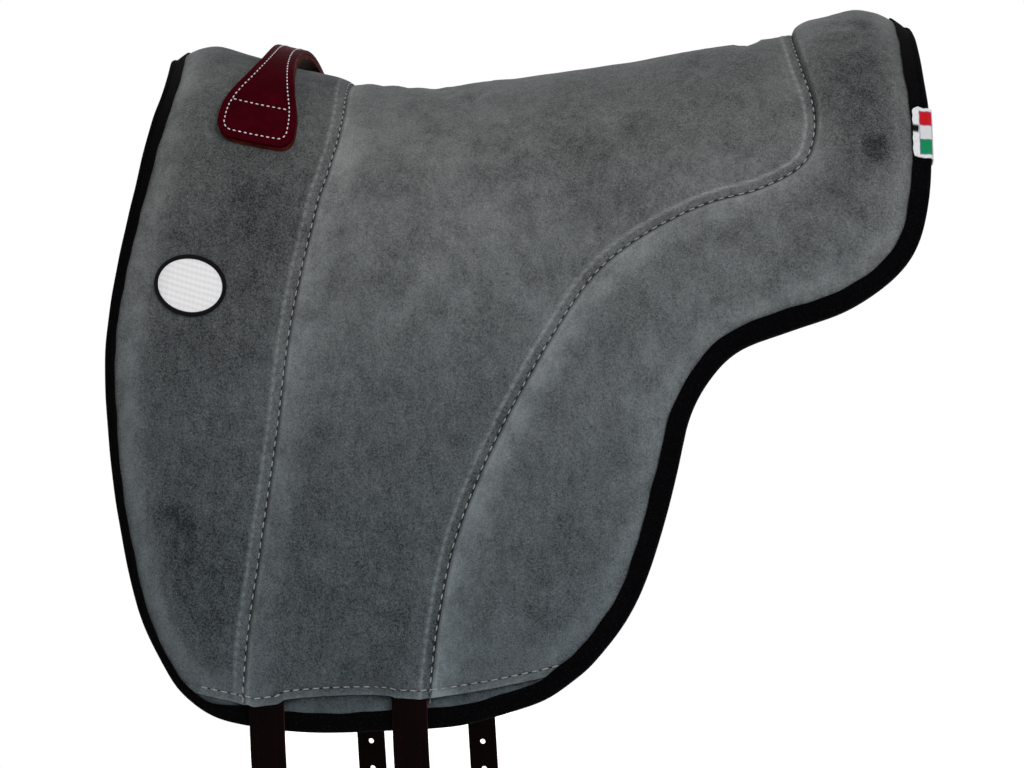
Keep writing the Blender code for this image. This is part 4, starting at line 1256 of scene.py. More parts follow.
def cover(name, panel, node, foam_node, finish, sizes):
    """One suede cover with its stuffing, as a closed padded form over both sides."""
    stations = row_stations()
    points = cover_grid(panel, stations, None)
    rows, columns = len(stations) - 1, points.shape[1] - 1
    x, drop = points[..., 0], points[..., 1]
    near = distances(x, drop)
    heights = skin(x, drop, panel, near)
    width = np.linalg.norm(points[:, -1] - points[:, 0], axis=1)[:, None]
    share = np.linalg.norm(points - points[:, :1], axis=2) / width
    swell = swelling(panel, sizes)
    bm, column, row, outer = grid_slab(columns, 2 * rows)
    side = np.where(row < rows, NEAR, FAR)
    line = np.abs(row - rows)
    spots_x, spots_drop = x[line, column], side * drop[line, column]
    here = [part[line, column] for part in near]
    free = looseness(spots_x, spots_drop, here, panel)
    puffed = heights[line, column] - creases(spots_x, spots_drop)
    puffed = puffed + free * sizes.waviness * waves(spots_x, spots_drop)
    if swell is not None:
        step = stations[line] / LAST_STATION * ((swell.shape[0] - 1) / 2)
        swell_row = (swell.shape[0] - 1) / 2 + side * step
        swell_column = share[line, column] * (swell.shape[1] - 1)
        puffed = puffed + free * (read_grid(swell, swell_row, swell_column) - sizes.stuffing_room)
    height = np.where(outer, puffed, underside(spots_x, np.abs(spots_drop)))
    move_to(bm, lay(spots_x, spots_drop, height))
    closed_outwards(bm)
    # Painted highlights and painted shade for the nap, with some rub and a few dark spots; the gather mask
    # marks the allowance's ridge, which the finish paints paler.
    rub_and_painted_light, spots_and_painted_shade = painted_light_rub_and_spots(panel, spots_x, spots_drop, here)
    gather = bump_at(own_seam(panel, here), ALLOWANCE_EDGE, ALLOWANCE_EDGE_WIDTH)
    values = {
        "rub_and_painted_light": np.where(outer, rub_and_painted_light, 0),
        "spots_and_painted_shade": np.where(outer, spots_and_painted_shade, 0),
        "run": seam_run(stations, panel, share)[line, column],
        "gather": outer * pressed(panel, here) * gather,
    }
    made = shown(name, bm, [finish], values)
    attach(made, "pad")
    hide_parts(node, foam_node)
    return made


# Lining, strips and binding


def lining_sheet(finish):
    """The felt against the horse: one sheet under the covers and the strips, down to the lower edge."""
    stations = np.linspace(0, LAST_STATION, 91)
    parts = [cover_grid(panel, stations, count, 0) for panel, count in ((FRONT, 26), (SEAT, 56), (REAR, 24))]
    points = np.concatenate([parts[0][:, :-1], parts[1][:, :-1], parts[2]], axis=1)
    hem = points[-1]
    below = np.maximum(strip_bottom(hem[:, 0]) - 0.0006 - hem[:, 1], 0.0008)
    tail = [hem + np.stack([0 * below, below * share], axis=-1) for share in (0.25, 0.5, 0.75, 1)]
    points = np.concatenate([points, tail])
    rows, columns = len(points) - 1, points.shape[1] - 1
    bm, column, row, outer = grid_slab(columns, 2 * rows)
    side = np.where(row < rows, NEAR, FAR)
    spots = points[np.abs(row - rows), column]
    near_edge = distance_to(EDGE_LINE, spots[:, 0], spots[:, 1])
    quilted = 0.00035 * waves(2.2 * spots[:, 0], 2.2 * spots[:, 1]) * eased((near_edge - 0.014) / 0.02)
    low = np.maximum(quilted, 0)
    move_to(bm, lay(spots[:, 0], side * spots[:, 1], np.where(outer, LINING_THICKNESS, low)))
    closed_outwards(bm)
    made = shown("felt_lining", bm, [finish])
    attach(made, "pad")
    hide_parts("lining")
    ring = np.vstack([LINES[0], BOTTOM, LINES[3][::-1]])
    area = abs((ring[:, 0] * np.roll(ring[:, 1], -1) - ring[:, 1] * np.roll(ring[:, 0], -1)).sum())
    return made


def hem_strip(name, node, side, finish):
    """The suede strip below the hem, thinly padded, whose points run in under the binding."""
    columns, rows = 150, 8
    x = np.linspace(HEM[0, 0] + 0.002, HEM[-1, 0] - 0.002, columns + 1)
    upper = hem_drop(x) + SEAM_GAP
    lower = np.maximum(strip_bottom(x), upper + 0.0004)
    bm, column, row, outer = grid_slab(columns, rows)
    share = (row / rows) ** 0.8
    drop = upper[column] + (lower - upper)[column] * share
    spots = x[column]
    heights = skin(spots, drop, np.full(len(spots), STRIP))
    sag = 0.0006 * np.sin(np.pi * share) * (1 + 0.5 * np.sin(95 * spots + 1))
    heights = heights - sag + 0.0003 * waves(3 * spots, 3 * drop)
    height = np.where(outer, heights, LINING_THICKNESS + LAYER_GAP)
    move_to(bm, lay(spots, side * drop, height))
    closed_outwards(bm)
    tuck = drop - upper[column]
    # Painted highlight along the strip just above the binding, and a painted shadow from the hem's edge
    # across the top of the strip.
    values = {
        "rub_and_painted_light": outer * (0.1 + 0.7 * bump_at(tuck, (lower - upper)[column] - TAPE_COVER, 0.0022)),
        "spots_and_painted_shade": np.where(outer, 0.9 * np.exp(-tuck / 0.0022), 0),
        "run": spots,
        "gather": np.zeros(len(spots)),
    }
    made = shown(name, bm, [finish], values)
    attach(made, "pad")
    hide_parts(node)
    return made


def inward_ways(ring):
    """At each point of the closed edge, the way square to it and into the pad."""
    ahead = unit(np.roll(ring, -1, axis=0) - np.roll(ring, 1, axis=0))
    return np.stack([ahead[:, 1], -ahead[:, 0]], axis=-1)


def folded(edge, ways, lift, width):
    """A face folded round the edge, lifted off it: pattern points and heights, one row a section."""
    share = np.linspace(0, 1, 7)
    top = width[:, None] + (EDGE_ROUND - width[:, None]) * share
    spots = edge[:, None] + ways[:, None] * top[..., None]
    heights = skin(spots[..., 0], spots[..., 1])
    kernel = np.array([1, 2, 3, 2, 1]) / 9
    ends = np.vstack([heights[:2], heights, heights[-2:]])
    heights = np.stack([np.convolve(line, kernel, "valid") for line in ends.T], axis=1)
    shoulder = heights[:, -1:] - EDGE_ROUND
    turn = np.linspace(0, np.pi / 2, 7)[1:]
    insets = [top, EDGE_ROUND - (EDGE_ROUND + lift) * np.sin(turn) + 0 * shoulder]
    levels = [heights + lift, shoulder + (EDGE_ROUND + lift) * np.cos(turn)]
    corner = 0.0010
    turn = np.linspace(0, np.pi / 2, 5)
    insets.append(corner - (corner + lift) * np.cos(turn) + 0 * shoulder)
    levels.append(corner - (corner + lift) * np.sin(turn) + 0 * shoulder)
    under = np.linspace(0, 1, 5)[1:]
    insets.append(corner + (width[:, None] - corner) * under)
    levels.append(-lift + 0 * shoulder + 0 * under)
    inset, level = np.hstack(insets), np.hstack(levels)
    return edge[:, None] + ways[:, None] * inset[..., None], level


def edge_tape(finish):
    """The black tape folded over the whole edge, as one closed ring with a soft rolled fold."""
    ring = np.roll(OUTLINE, len(OUTLINE) // 4, axis=0)
    ways = inward_ways(ring)
    run = np.arange(len(ring)) / len(ring) * 2 * np.pi
    wander = 0.00035 * np.sin(23 * run + 1) + 0.00025 * np.sin(61 * run + 2) + 0.0002 * np.sin(117 * run)
    narrow = eased((np.abs(ring[:, 1]) - 0.10) / 0.12) * (1 - eased((ring[:, 0] + 0.215) / 0.05))
    wide = TAPE_COVER - TAPE_NARROWING * narrow + wander
    outer_spots, outer_levels = folded(ring, ways, TAPE_GAP + TAPE_THICKNESS, wide)
    inner_spots, inner_levels = folded(ring, ways, TAPE_GAP, wide)
    pile = 0.00018 * np.sin(77 * run)[:, None] * np.ones(outer_levels.shape[1])
    outer = lay(outer_spots[..., 0], outer_spots[..., 1], outer_levels + pile)
    inner = lay(inner_spots[..., 0], inner_spots[..., 1], inner_levels)
    section = np.concatenate([outer, inner[:, ::-1]], axis=1)
    count, around = section.shape[:2]
    bm, column, row = grid_ring(around, count)
    layer = bm.verts.layers.float.new("along")
    ribbed_length = round(OUTLINE_STEP * count / TAPE_RIB) * TAPE_RIB
    for vert, place, at in zip(bm.verts, section[row, column], row):
        vert.co = place
        vert[layer] = at / count * ribbed_length
    bmesh.ops.remove_doubles(bm, verts=bm.verts[:], dist=0.00002)
    closed_outwards(bm)
    made = shown("edge_tape", bm, [finish])
    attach(made, "pad")
    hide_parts("edge_binding")
    return made


# Stitching


def offset_line(line, offset):
    """The pattern line moved sideways, towards +x for a line that runs down."""
    ahead = unit(np.gradient(line, axis=0))
    return line + offset * np.stack([ahead[:, 1], -ahead[:, 0]], axis=-1)


def seam_thread(finishes, sizes):
    """The stitches along both seams, over the back from hem to hem and on down the strips."""
    bm = bmesh.new()
    for line, panel in ((LINES[1], FRONT), (LINES[2], SEAT)):
        inset = offset_line(line, -SEAM_STITCH_INSET)
        way = unit(inset[-1] - inset[-8])
        tail = inset[-1] + way * np.linspace(THREAD_STEP, 0.022, 18)[:, None]
        tail = tail[distance_to(EDGE_LINE, tail[:, 0], tail[:, 1]) > TAPE_COVER + 0.001]
        one_side = evenly(np.vstack([inset, tail]), THREAD_STEP)
        x, drop = one_side.T
        heights = skin(x, drop, np.where(drop > hem_drop(x), STRIP, panel))
        both = np.vstack([one_side[::-1] * (1, -1), one_side[1:]])
        heights = np.concatenate([heights[::-1], heights[1:]])
        places, outwards = laid_line(both, heights + sizes.thread_width * 0.32)
        length = sizes.stitch_pitch * SEAM_STITCH_SHARE
        sew(bm, places, outwards, sizes.stitch_pitch, length, sizes.thread_width, 0, 1)
    made = shown("seam_thread", bm, finishes)
    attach(made, "pad")
    return made


def hem_thread(finishes, sizes):
    """The stitches along each hem, a little above its edge."""
    bm = bmesh.new()
    line = LIP - (0, HEM_STITCH_LINE)
    line = line[distance_to(EDGE_LINE, line[:, 0], line[:, 1]) > TAPE_COVER + 0.0015]
    line = evenly(line, THREAD_STEP)
    heights = skin(line[:, 0], line[:, 1])
    length, width = sizes.stitch_pitch * HEM_STITCH_SHARE, 1.15 * sizes.thread_width
    for side in (NEAR, FAR):
        places, outwards = laid_line(line * (1, side), heights + sizes.thread_width * 0.62)
        sew(bm, places, outwards, sizes.stitch_pitch, length, width, 0, 1)
    made = shown("hem_thread", bm, finishes)
    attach(made, "pad")
    return made


# Handle, badge and label


def handle_base(x, drop):
    """Height at which the handle's inner layer starts: flat on the flaps and arched over the spine."""
    arch = HANDLE_CLEARANCE * np.maximum(1 - (drop / HANDLE_FOLD) ** 2, 0)
    return skin(x, drop, np.full(np.shape(x), FRONT)) + LAID_GAP + arch


def handle_rows():
    """Drops of the handle's rows: even over its arch and tab, and closer round its lower corners."""
    arch = np.arange(0, HANDLE_FOLD, 0.0025)
    tab = np.arange(HANDLE_FOLD, HANDLE_END - HANDLE_CORNER, 0.0025)
    turn = np.linspace(0, np.pi / 2 - 0.06, 12)
    return np.concatenate([arch, tab, HANDLE_END - HANDLE_CORNER + HANDLE_CORNER * np.sin(turn)])


def handle_layer(name, node, low, thickness, finish):
    """One leather layer of the handle, with rounded edges."""
    drops = handle_rows()
    last = len(drops) - 1
    columns = 14
    bm, column, row, outer = grid_slab(columns, 2 * last)
    drop = np.where(row < last, NEAR, FAR) * drops[np.abs(row - last)]
    x = handle_middle(drop) + handle_half_width(drop) * (2 * column / columns - 1)
    height = handle_base(x, drop) + low + np.where(outer, thickness, 0)
    move_to(bm, lay(x, drop, height))
    closed_outwards(bm)
    round_edges(bm, 0.0007, 3)
    made = shown(name, bm, [finish])
    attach(made, "pad")
    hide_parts(node)
    return made


def handle_thread(finish):
    """White stitches 5 mm in from the handle's edges, round both tabs, and a row across each fold."""
    inset = 0.0050
    drops = np.arange(0, HANDLE_END - HANDLE_CORNER, THREAD_STEP)
    side = np.stack([handle_half_width(drops) - inset, drops], axis=-1)
    turn = np.linspace(0, np.pi / 2, 12)
    round_corner = (HANDLE_CORNER - inset) * np.stack([np.cos(turn), np.sin(turn)], axis=-1)
    round_corner += (HANDLE_TAB_WIDTH / 2 - HANDLE_CORNER, HANDLE_END - HANDLE_CORNER)
    right = np.vstack([side, round_corner])
    half_loop = np.vstack([right, right[::-1] * (-1, 1)])
    cross = float(handle_half_width(HANDLE_FOLD)) - inset
    across = np.stack([np.linspace(-cross, cross, 40), np.full(40, HANDLE_FOLD)], axis=-1)
    top = HANDLE_INNER_THICKNESS + LAYER_GAP + HANDLE_OUTER_THICKNESS
    bm = bmesh.new()
    for hand in (NEAR, FAR):
        for line in (evenly(half_loop, 0.0010), across):
            spots = line * (1, hand)
            spots[:, 0] += handle_middle(line[:, 1])
            places, outwards = laid_line(spots, handle_base(spots[:, 0], spots[:, 1]) + top + 0.00012)
            sew(bm, places, outwards, 0.0043, 0.0024, 0.00105)
    made = shown("handle_thread", bm, [finish])
    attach(made, "pad")
    return made


def badge_field(finish):
    """The badge's bare satin field, slightly domed, inside its overcast rim."""
    steps = 40
    bm, column, row, outer = grid_slab(steps, steps)
    a, b = 2 * column / steps - 1, 2 * row / steps - 1
    p, q = a * np.sqrt(1 - b**2 / 2), b * np.sqrt(1 - a**2 / 2)
    inset = 0.0024
    x, drop = badge_spots(p * (1 - inset / BADGE_LENGTH), q * (1 - inset / BADGE_HEIGHT))
    dome = 0.0007 * (1 - np.minimum(p**2 + q**2, 1))
    height = skin(x, drop, np.full(len(x), FRONT)) + LAID_GAP + np.where(outer, 0.0011 + dome, 0)
    move_to(bm, lay(x, drop, height))
    closed_outwards(bm)
    made = shown("badge_field", bm, [finish], {"down": drop})
    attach(made, "pad")
    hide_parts("badge_patch")
    return made


def badge_rim(finish):
    """The badge's raised rim: thread wound round its edge, as one closed ring."""
    count, around = 160, 14
    bm, column, row = grid_ring(around, count)
    turn, angle = 2 * np.pi * column / around, 2 * np.pi * row / count
    reach = (0.0016 + 0.00010 * np.sin(angle * 80)) * np.cos(turn)
    inward = 2 * (0.0014 - reach)
    along, across = (1 - inward / BADGE_LENGTH) * np.cos(angle), (1 - inward / BADGE_HEIGHT) * np.sin(angle)
    x, drop = badge_spots(along, across)
    height = skin(x, drop, np.full(len(x), FRONT)) + LAID_GAP + 0.0011 + 0.0011 * np.sin(turn)
    layers = [bm.verts.layers.float.new(name) for name in ("along", "round")]
    perimeter = 0.156
    wound_length = round(perimeter / OVERCAST_PITCH) * OVERCAST_PITCH
    for vert, spot, at, part in zip(bm.verts, lay(x, drop, height), row / count, turn):
        vert.co = spot
        vert[layers[0]] = at * wound_length
        vert[layers[1]] = math.sin(part)
    bmesh.ops.remove_doubles(bm, verts=bm.verts[:], dist=0.00001)
    closed_outwards(bm)
    made = shown("badge_rim", bm, [finish])
    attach(made, "pad")
    return made


def edge_label(finish):
    """The woven label folded round the binding on the near side of the rear edge."""
    edge = on_line(LINES[3], LABEL_STATION)
    ahead = unit(on_line(LINES[3], LABEL_STATION + 1) - on_line(LINES[3], LABEL_STATION - 1))
    rows = 30
    along = np.linspace(-LABEL_LENGTH / 2, LABEL_LENGTH / 2, rows + 1)
    spots = edge + ahead * along[:, None]
    ways = np.tile([-ahead[1], ahead[0]], (rows + 1, 1))
    corner = 0.004
    past = np.maximum(np.abs(along) - (LABEL_LENGTH / 2 - corner), 0)
    wide = LABEL_COVER - (corner - np.sqrt(np.maximum(corner**2 - past**2, 0))) - 0.0002 * np.sin(900 * along)
    lift = TAPE_GAP + TAPE_THICKNESS + LAID_GAP
    faces = []
    for distance in (lift, lift + LABEL_THICKNESS):
        pattern, level = folded(spots, ways, distance, wide)
        faces.append(lay(pattern[..., 0], -pattern[..., 1], level))
    columns = faces[0].shape[1] - 1
    bm, column, row, outer = grid_slab(columns, rows)
    move_to(bm, np.where(outer[:, None], faces[1][row, column], faces[0][row, column]))
    closed_outwards(bm)
    run = run_along(faces[1][rows // 2])
    fold = run[12]
    made = shown("edge_label_cloth", bm, [finish], {"along": along[row], "across": fold - run[column]})
    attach(made, "pad")
    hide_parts("edge_label")
    return made


# Billets


def billet_facts(name):
    """Where a billet starts, which side it is on, its places down its middle, and the height of its lowest
    point.
    """
    low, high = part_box(name)
    joint = next(joint for joint in frame["joints"] if joint["child"] == name)
    pivot = Vector(joint["pos_m"])
    side = -1 if pivot.y < 0 else 1
    reach = max(abs(low.y), abs(high.y))
    lean = math.pi / 2 - FLAP_ANGLE
    inner = abs(pivot.y) - BILLET_THICKNESS * math.cos(lean)
    bend_out = BILLET_BEND * math.sin(lean / 2)
    straight = (reach - BILLET_THICKNESS - bend_out - inner) / math.sin(lean)
    top = np.array([pivot.x, side * inner, pivot.z - BILLET_THICKNESS * math.sin(lean)])
    slope = np.array([0, side * math.sin(lean), -math.cos(lean)])
    spaced = [-STRAP_TUCK, -STRAP_TUCK / 2, *np.arange(0, straight - 0.0012, 0.0024), straight]
    places = [top + slope * at for at in spaced]
    for angle in lean * (1 - (np.arange(BEND_STEPS) + 0.5) / BEND_STEPS):
        way = np.array([0, side * math.sin(angle), -math.cos(angle)])
        places.append(places[-1] + way * BILLET_BEND / BEND_STEPS)
    return top, side, np.array(places), low.z


def strap_blank(middle, outwards, tip_z):
    """A billet's plain strap, even in width down to its rounded point."""
    past = np.clip((tip_z + BILLET_TIP - middle[:, 2]) / BILLET_TIP, 0, 1)
    half = BILLET_TIP_WIDTH / 2 + (BILLET_WIDTH - BILLET_TIP_WIDTH) / 2 * np.sqrt(np.maximum(1 - past**2, 0))
    bm, column, row, outer = grid_slab(1, len(middle) - 1)
    places = middle[row] + outwards[row] * np.where(outer, BILLET_THICKNESS, 0)[:, None]
    places[:, 0] += half[row] * (2 * column - 1)
    move_to(bm, places)
    closed_outwards(bm)
    return shown("strap_blank", bm, [])


def punched(strap, last, levels):
    """A bmesh of the strap with a hole at each level, straight below the last place of its upper part."""
    radii = {"radius1": HOLE_DIAMETER / 2, "radius2": HOLE_DIAMETER / 2}
    bm = bmesh.new()
    for level in levels:
        made = bmesh.ops.create_cone(bm, cap_ends=True, segments=24, depth=0.03, **radii)
        bmesh.ops.rotate(bm, verts=made["verts"], matrix=Matrix.Rotation(math.pi / 2, 3, "X"))
        bmesh.ops.translate(bm, verts=made["verts"], vec=(last[0], last[1], level))
    closed_outwards(bm)
    punch = shown("strap_punch", bm, [])
    boolean = strap.modifiers.new("holes", "BOOLEAN")
    boolean.object = punch
    boolean.operation = "DIFFERENCE"
    boolean.solver = "EXACT"
    bm = bmesh.new()
    bm.from_mesh(strap.evaluated_get(bpy.context.evaluated_depsgraph_get()).to_mesh())
    remove(strap)
    remove(punch)
    return bm


def billet(name, finishes):
    """A billet strap from under the hem to its tip, punched, with rounded edges and two rows of stitches."""
    top, side, upper, tip_z = billet_facts(name)
    last = upper[-1]
    hole_levels = tip_z + FIRST_HOLE + HOLE_PITCH * np.arange(HOLE_COUNT)
    between = list(hole_levels[::-1] + HOLE_PITCH / 2)
    steps = [z for z in between if z < last[2] - 0.006] + [tip_z + BILLET_TIP + 0.006]
    steps += list(tip_z + BILLET_TIP * (1 - np.linspace(0, 1, 9)))
    middle = np.vstack([upper, [[last[0], last[1], z] for z in steps]])
    ahead = unit(np.gradient(middle, axis=0))
    outwards = np.stack([np.zeros(len(ahead)), -side * ahead[:, 2], side * ahead[:, 1]], axis=-1)
    bm = punched(strap_blank(middle, outwards, tip_z), last, hole_levels)
    round_edges(bm, 0.0005, 2)
    bm.normal_update()
    for side_face in bm.faces:
        if abs(side_face.normal.x) > 0.7:
            side_face.material_index = 2
    face = middle + outwards * (BILLET_THICKNESS + 0.00008)
    sewn = face[(face[:, 2] < top[2]) & (face[:, 2] > top[2] - STRAP_STITCHED)]
    sewn = np.vstack([sewn, sewn[-1] - (0, 0, 0.018)])
    for shift in (-STRAP_STITCH_OFFSET, STRAP_STITCH_OFFSET):
        line = evenly(sewn + (shift, 0, 0), 0.0010)
        sew(bm, line, np.tile(outwards[4], (len(line), 1)), STRAP_STITCH_PITCH, 0.0031, 0.00075, 1)
    made = shown(name + "_strap", bm, finishes)
    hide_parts(name)
    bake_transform(made)
    return made


# The add-on


class PadSizes(bpy.types.PropertyGroup):
    """Sizes and colours of the pad's looks."""

    stitch_pitch: bpy.props.FloatProperty(
        name="Stitch pitch", description="From one seam stitch to the next",
        default=STITCH_PITCH, min=0.003, max=0.012, unit="LENGTH",
    )
    thread_width: bpy.props.FloatProperty(
        name="Thread width", description="Width of the seam thread",
        default=0.0009, min=0.0004, max=0.002, unit="LENGTH",
    )
    waviness: bpy.props.FloatProperty(
        name="Waviness", description="How far the stuffed suede waves in and out",
        default=0.0009, min=0, max=0.004, unit="LENGTH",
    )
    stuffing_room: bpy.props.FloatProperty(
        name="Stuffing room", description="How much smaller a cover starts before its stuffing swells it",
        default=0.0016, min=0, max=0.006, unit="LENGTH",
    )
    stuffing_pressure: bpy.props.FloatProperty(
        name="Stuffing pressure", description="Pressure of the stuffing in the cloth simulation",
        default=4, min=0, max=20,
    )
    swell_cap: bpy.props.FloatProperty(
        name="Swell cap", description="Most that the stuffing may move a cover",
        default=0.0042, min=0.001, max=0.016, unit="LENGTH",
    )
    suede_dark: bpy.props.FloatVectorProperty(
        name="Suede, brushed dark", description="Colour of the suede where its nap lies dark",
        default=(0.0126, 0.0150, 0.0159), size=3, min=0, max=1, subtype="COLOR",
    )
    suede_light: bpy.props.FloatVectorProperty(
        name="Suede, brushed light", description="Colour of the suede where its nap lies light",
        default=(0.269, 0.279, 0.281), size=3, min=0, max=1, subtype="COLOR",
    )
    handle_dark: bpy.props.FloatVectorProperty(
        name="Handle leather, dark", description="Darkest colour of the handle's leather",
        default=(0.010, 0.0001, 0.0010), size=3, min=0, max=1, subtype="COLOR",
    )
    handle_light: bpy.props.FloatVectorProperty(
        name="Handle leather, light", description="Lightest colour of the handle's leather",
        default=(0.057, 0.0006, 0.0048), size=3, min=0, max=1, subtype="COLOR",
    )
    billet_dark: bpy.props.FloatVectorProperty(
        name="Billet leather, dark", description="Darkest colour of the billets",
        default=(0.0006, 0.0003, 0.0004), size=3, min=0, max=1, subtype="COLOR",
    )
    billet_light: bpy.props.FloatVectorProperty(
        name="Billet leather, light", description="Lightest colour of the billets",
        default=(0.0045, 0.0012, 0.0014), size=3, min=0, max=1, subtype="COLOR",
    )


class StageSizes(bpy.types.PropertyGroup):
    """Sizes and light of the stage."""

    floor_radius: bpy.props.FloatProperty(
        name="Floor radius", description="Radius of the round floor",
        default=1.3, min=0.5, max=5, unit="LENGTH",
    )
    floor_glow: bpy.props.FloatProperty(
        name="Floor glow", description="How much whiter the floor looks to the camera",
        default=0.60, min=0, max=1,
    )
    room_light: bpy.props.FloatProperty(
        name="Room light", description="Strength of the even light from all round",
        default=0.46, min=0, max=2,
    )
    key_power: bpy.props.FloatProperty(
        name="Key lamp", description="Power of the large soft lamp beside the camera",
        default=30, min=0, max=200, unit="POWER",
    )
    fill_power: bpy.props.FloatProperty(
        name="Fill lamp", description="Power of the soft lamp on the far side",
        default=24, min=0, max=200, unit="POWER",
    )
    top_power: bpy.props.FloatProperty(
        name="Top lamp", description="Power of the soft lamp above the pad",
        default=1.2, min=0, max=200, unit="POWER",
    )


def suede():
    """The nap that the three covers share, made once."""
    sizes = bpy.context.scene.pad_sizes
    made = bpy.data.materials.get("grey_suede_nap")
    return made or suede_finish("grey_suede_nap", tuple(sizes.suede_dark), tuple(sizes.suede_light), 0.30)


class PadPiece:
    """What the pad's operators share."""

    bl_options = {"REGISTER", "UNDO"}

    def execute(self, context):
        self.build(context.scene.pad_sizes)
        return {"FINISHED"}


class PAD_OT_covers(PadPiece, bpy.types.Operator):
    """Stuff the three suede covers, front, seat and rear"""

    bl_idname = "pad.covers"
    bl_label = "Suede covers"

    def build(self, sizes):
        cover("suede_front", FRONT, "front_panel", "front_foam", suede(), sizes)
        cover("suede_seat", SEAT, "seat_panel", "seat_foam", suede(), sizes)
        cover("suede_rear", REAR, "rear_panel", "rear_foam", suede(), sizes)


class PAD_OT_strips(PadPiece, bpy.types.Operator):
    """Sew on the darker suede strips below the hems"""

    bl_idname = "pad.strips"
    bl_label = "Hem strips"

    def build(self, sizes):
        dark = suede_finish("dark_suede_nap", (0.0124, 0.0156, 0.0164), (0.176, 0.188, 0.192), 0.25)
        hem_strip("strip_near", "lower_strip_near", NEAR, dark)
        hem_strip("strip_far", "lower_strip_far", FAR, dark)


class PAD_OT_binding(PadPiece, bpy.types.Operator):
    """Fold the black tape over the whole edge"""

    bl_idname = "pad.binding"
    bl_label = "Edge binding"

    def build(self, sizes):
        edge_tape(tape_finish())


class PAD_OT_lining(PadPiece, bpy.types.Operator):
    """Lay the felt lining under the pad and finish the webbing that it hides"""

    bl_idname = "pad.lining"
    bl_label = "Lining and webbing"

    def build(self, sizes):
        lining_sheet(felt_finish())
        webbing = webbing_finish()
        for node in ("girth_web_front", "girth_web_rear"):
            slots = frame["nodes"][node].material_slots
            for slot in slots:
                slot.material = webbing


class PAD_OT_stitching(PadPiece, bpy.types.Operator):
    """Stitch both seams and both hems"""

    bl_idname = "pad.stitching"
    bl_label = "Seam and hem stitches"

    def build(self, sizes):
        pale = thread_finish("pale_grey_thread", (0.14, 0.15, 0.16), (0.44, 0.46, 0.47), 0.15)
        # The second finish colours the painted shade of the needle holes between the stitches.
        hole = thread_finish("needle_hole_shadow", (0.010, 0.011, 0.012), (0.026, 0.028, 0.030))
        seam_thread([pale, hole], sizes)
        hem_thread([pale, hole], sizes)


class PAD_OT_handle(PadPiece, bpy.types.Operator):
    """Fit the burgundy grab handle with its two layers and white stitches"""

    bl_idname = "pad.handle"
    bl_label = "Grab handle"

    def build(self, sizes):
        dark, light = tuple(sizes.handle_dark), tuple(sizes.handle_light)
        leather = leather_finish("burgundy_bridle_leather", dark, light, 0.42, 0.0004, 0.006)
        inner, outer = HANDLE_INNER_THICKNESS, HANDLE_OUTER_THICKNESS
        above = inner + LAYER_GAP
        handle_layer("handle_lower_layer", "handle_inner", 0, inner, raw_edge_finish())
        handle_layer("handle_upper_layer", "handle_outer", above, outer, leather)
        handle_thread(thread_finish("white_thread", (0.42, 0.42, 0.44), (0.86, 0.86, 0.86), 0.15))


class PAD_OT_trim(PadPiece, bpy.types.Operator):
    """Sew on the bare oval badge and the woven edge label"""

    bl_idname = "pad.trim"
    bl_label = "Badge and label"

    def build(self, sizes):
        badge_field(satin_finish())
        badge_rim(merrow_finish())
        edge_label(woven_finish())


class PAD_OT_billets(PadPiece, bpy.types.Operator):
    """Hang the four leather billets from the hems"""

    bl_idname = "pad.billets"
    bl_label = "Billet straps"

    def build(self, sizes):
        dark, light = tuple(sizes.billet_dark), tuple(sizes.billet_light)
        leather = leather_finish("dark_brown_billet_leather", dark, light, 0.6, 0.0003, 0.02)
        red = thread_finish("dark_red_thread", (0.003, 0.0004, 0.0006), (0.014, 0.0012, 0.0018))
        paint = thread_finish("dark_red_edge_paint", (0.010, 0.0003, 0.0004), (0.040, 0.0010, 0.0012))
        for name in BILLETS:
            billet(name, [leather, red, paint])


class PAD_OT_stage(bpy.types.Operator):
    """Set up the pale floor, the soft lamps and the camera"""

    bl_idname = "pad.stage"
    bl_label = "Stage"
    bl_options = {"REGISTER", "UNDO"}

    def execute(self, context):
        sizes = context.scene.stage_sizes
        stage_floor(sizes)
        stage_world(sizes)
        soft_lamp("key_lamp", (1.15, -1.95, 0.85), 1.4, sizes.key_power)
        soft_lamp("fill_lamp", (-0.7, 2.0, -0.3), 1.4, sizes.fill_power)
        soft_lamp("top_lamp", (0.1, -0.5, 1.9), 1.3, sizes.top_power)
        stage_camera()
        context.scene.view_settings.view_transform = "Standard"
        return {"FINISHED"}


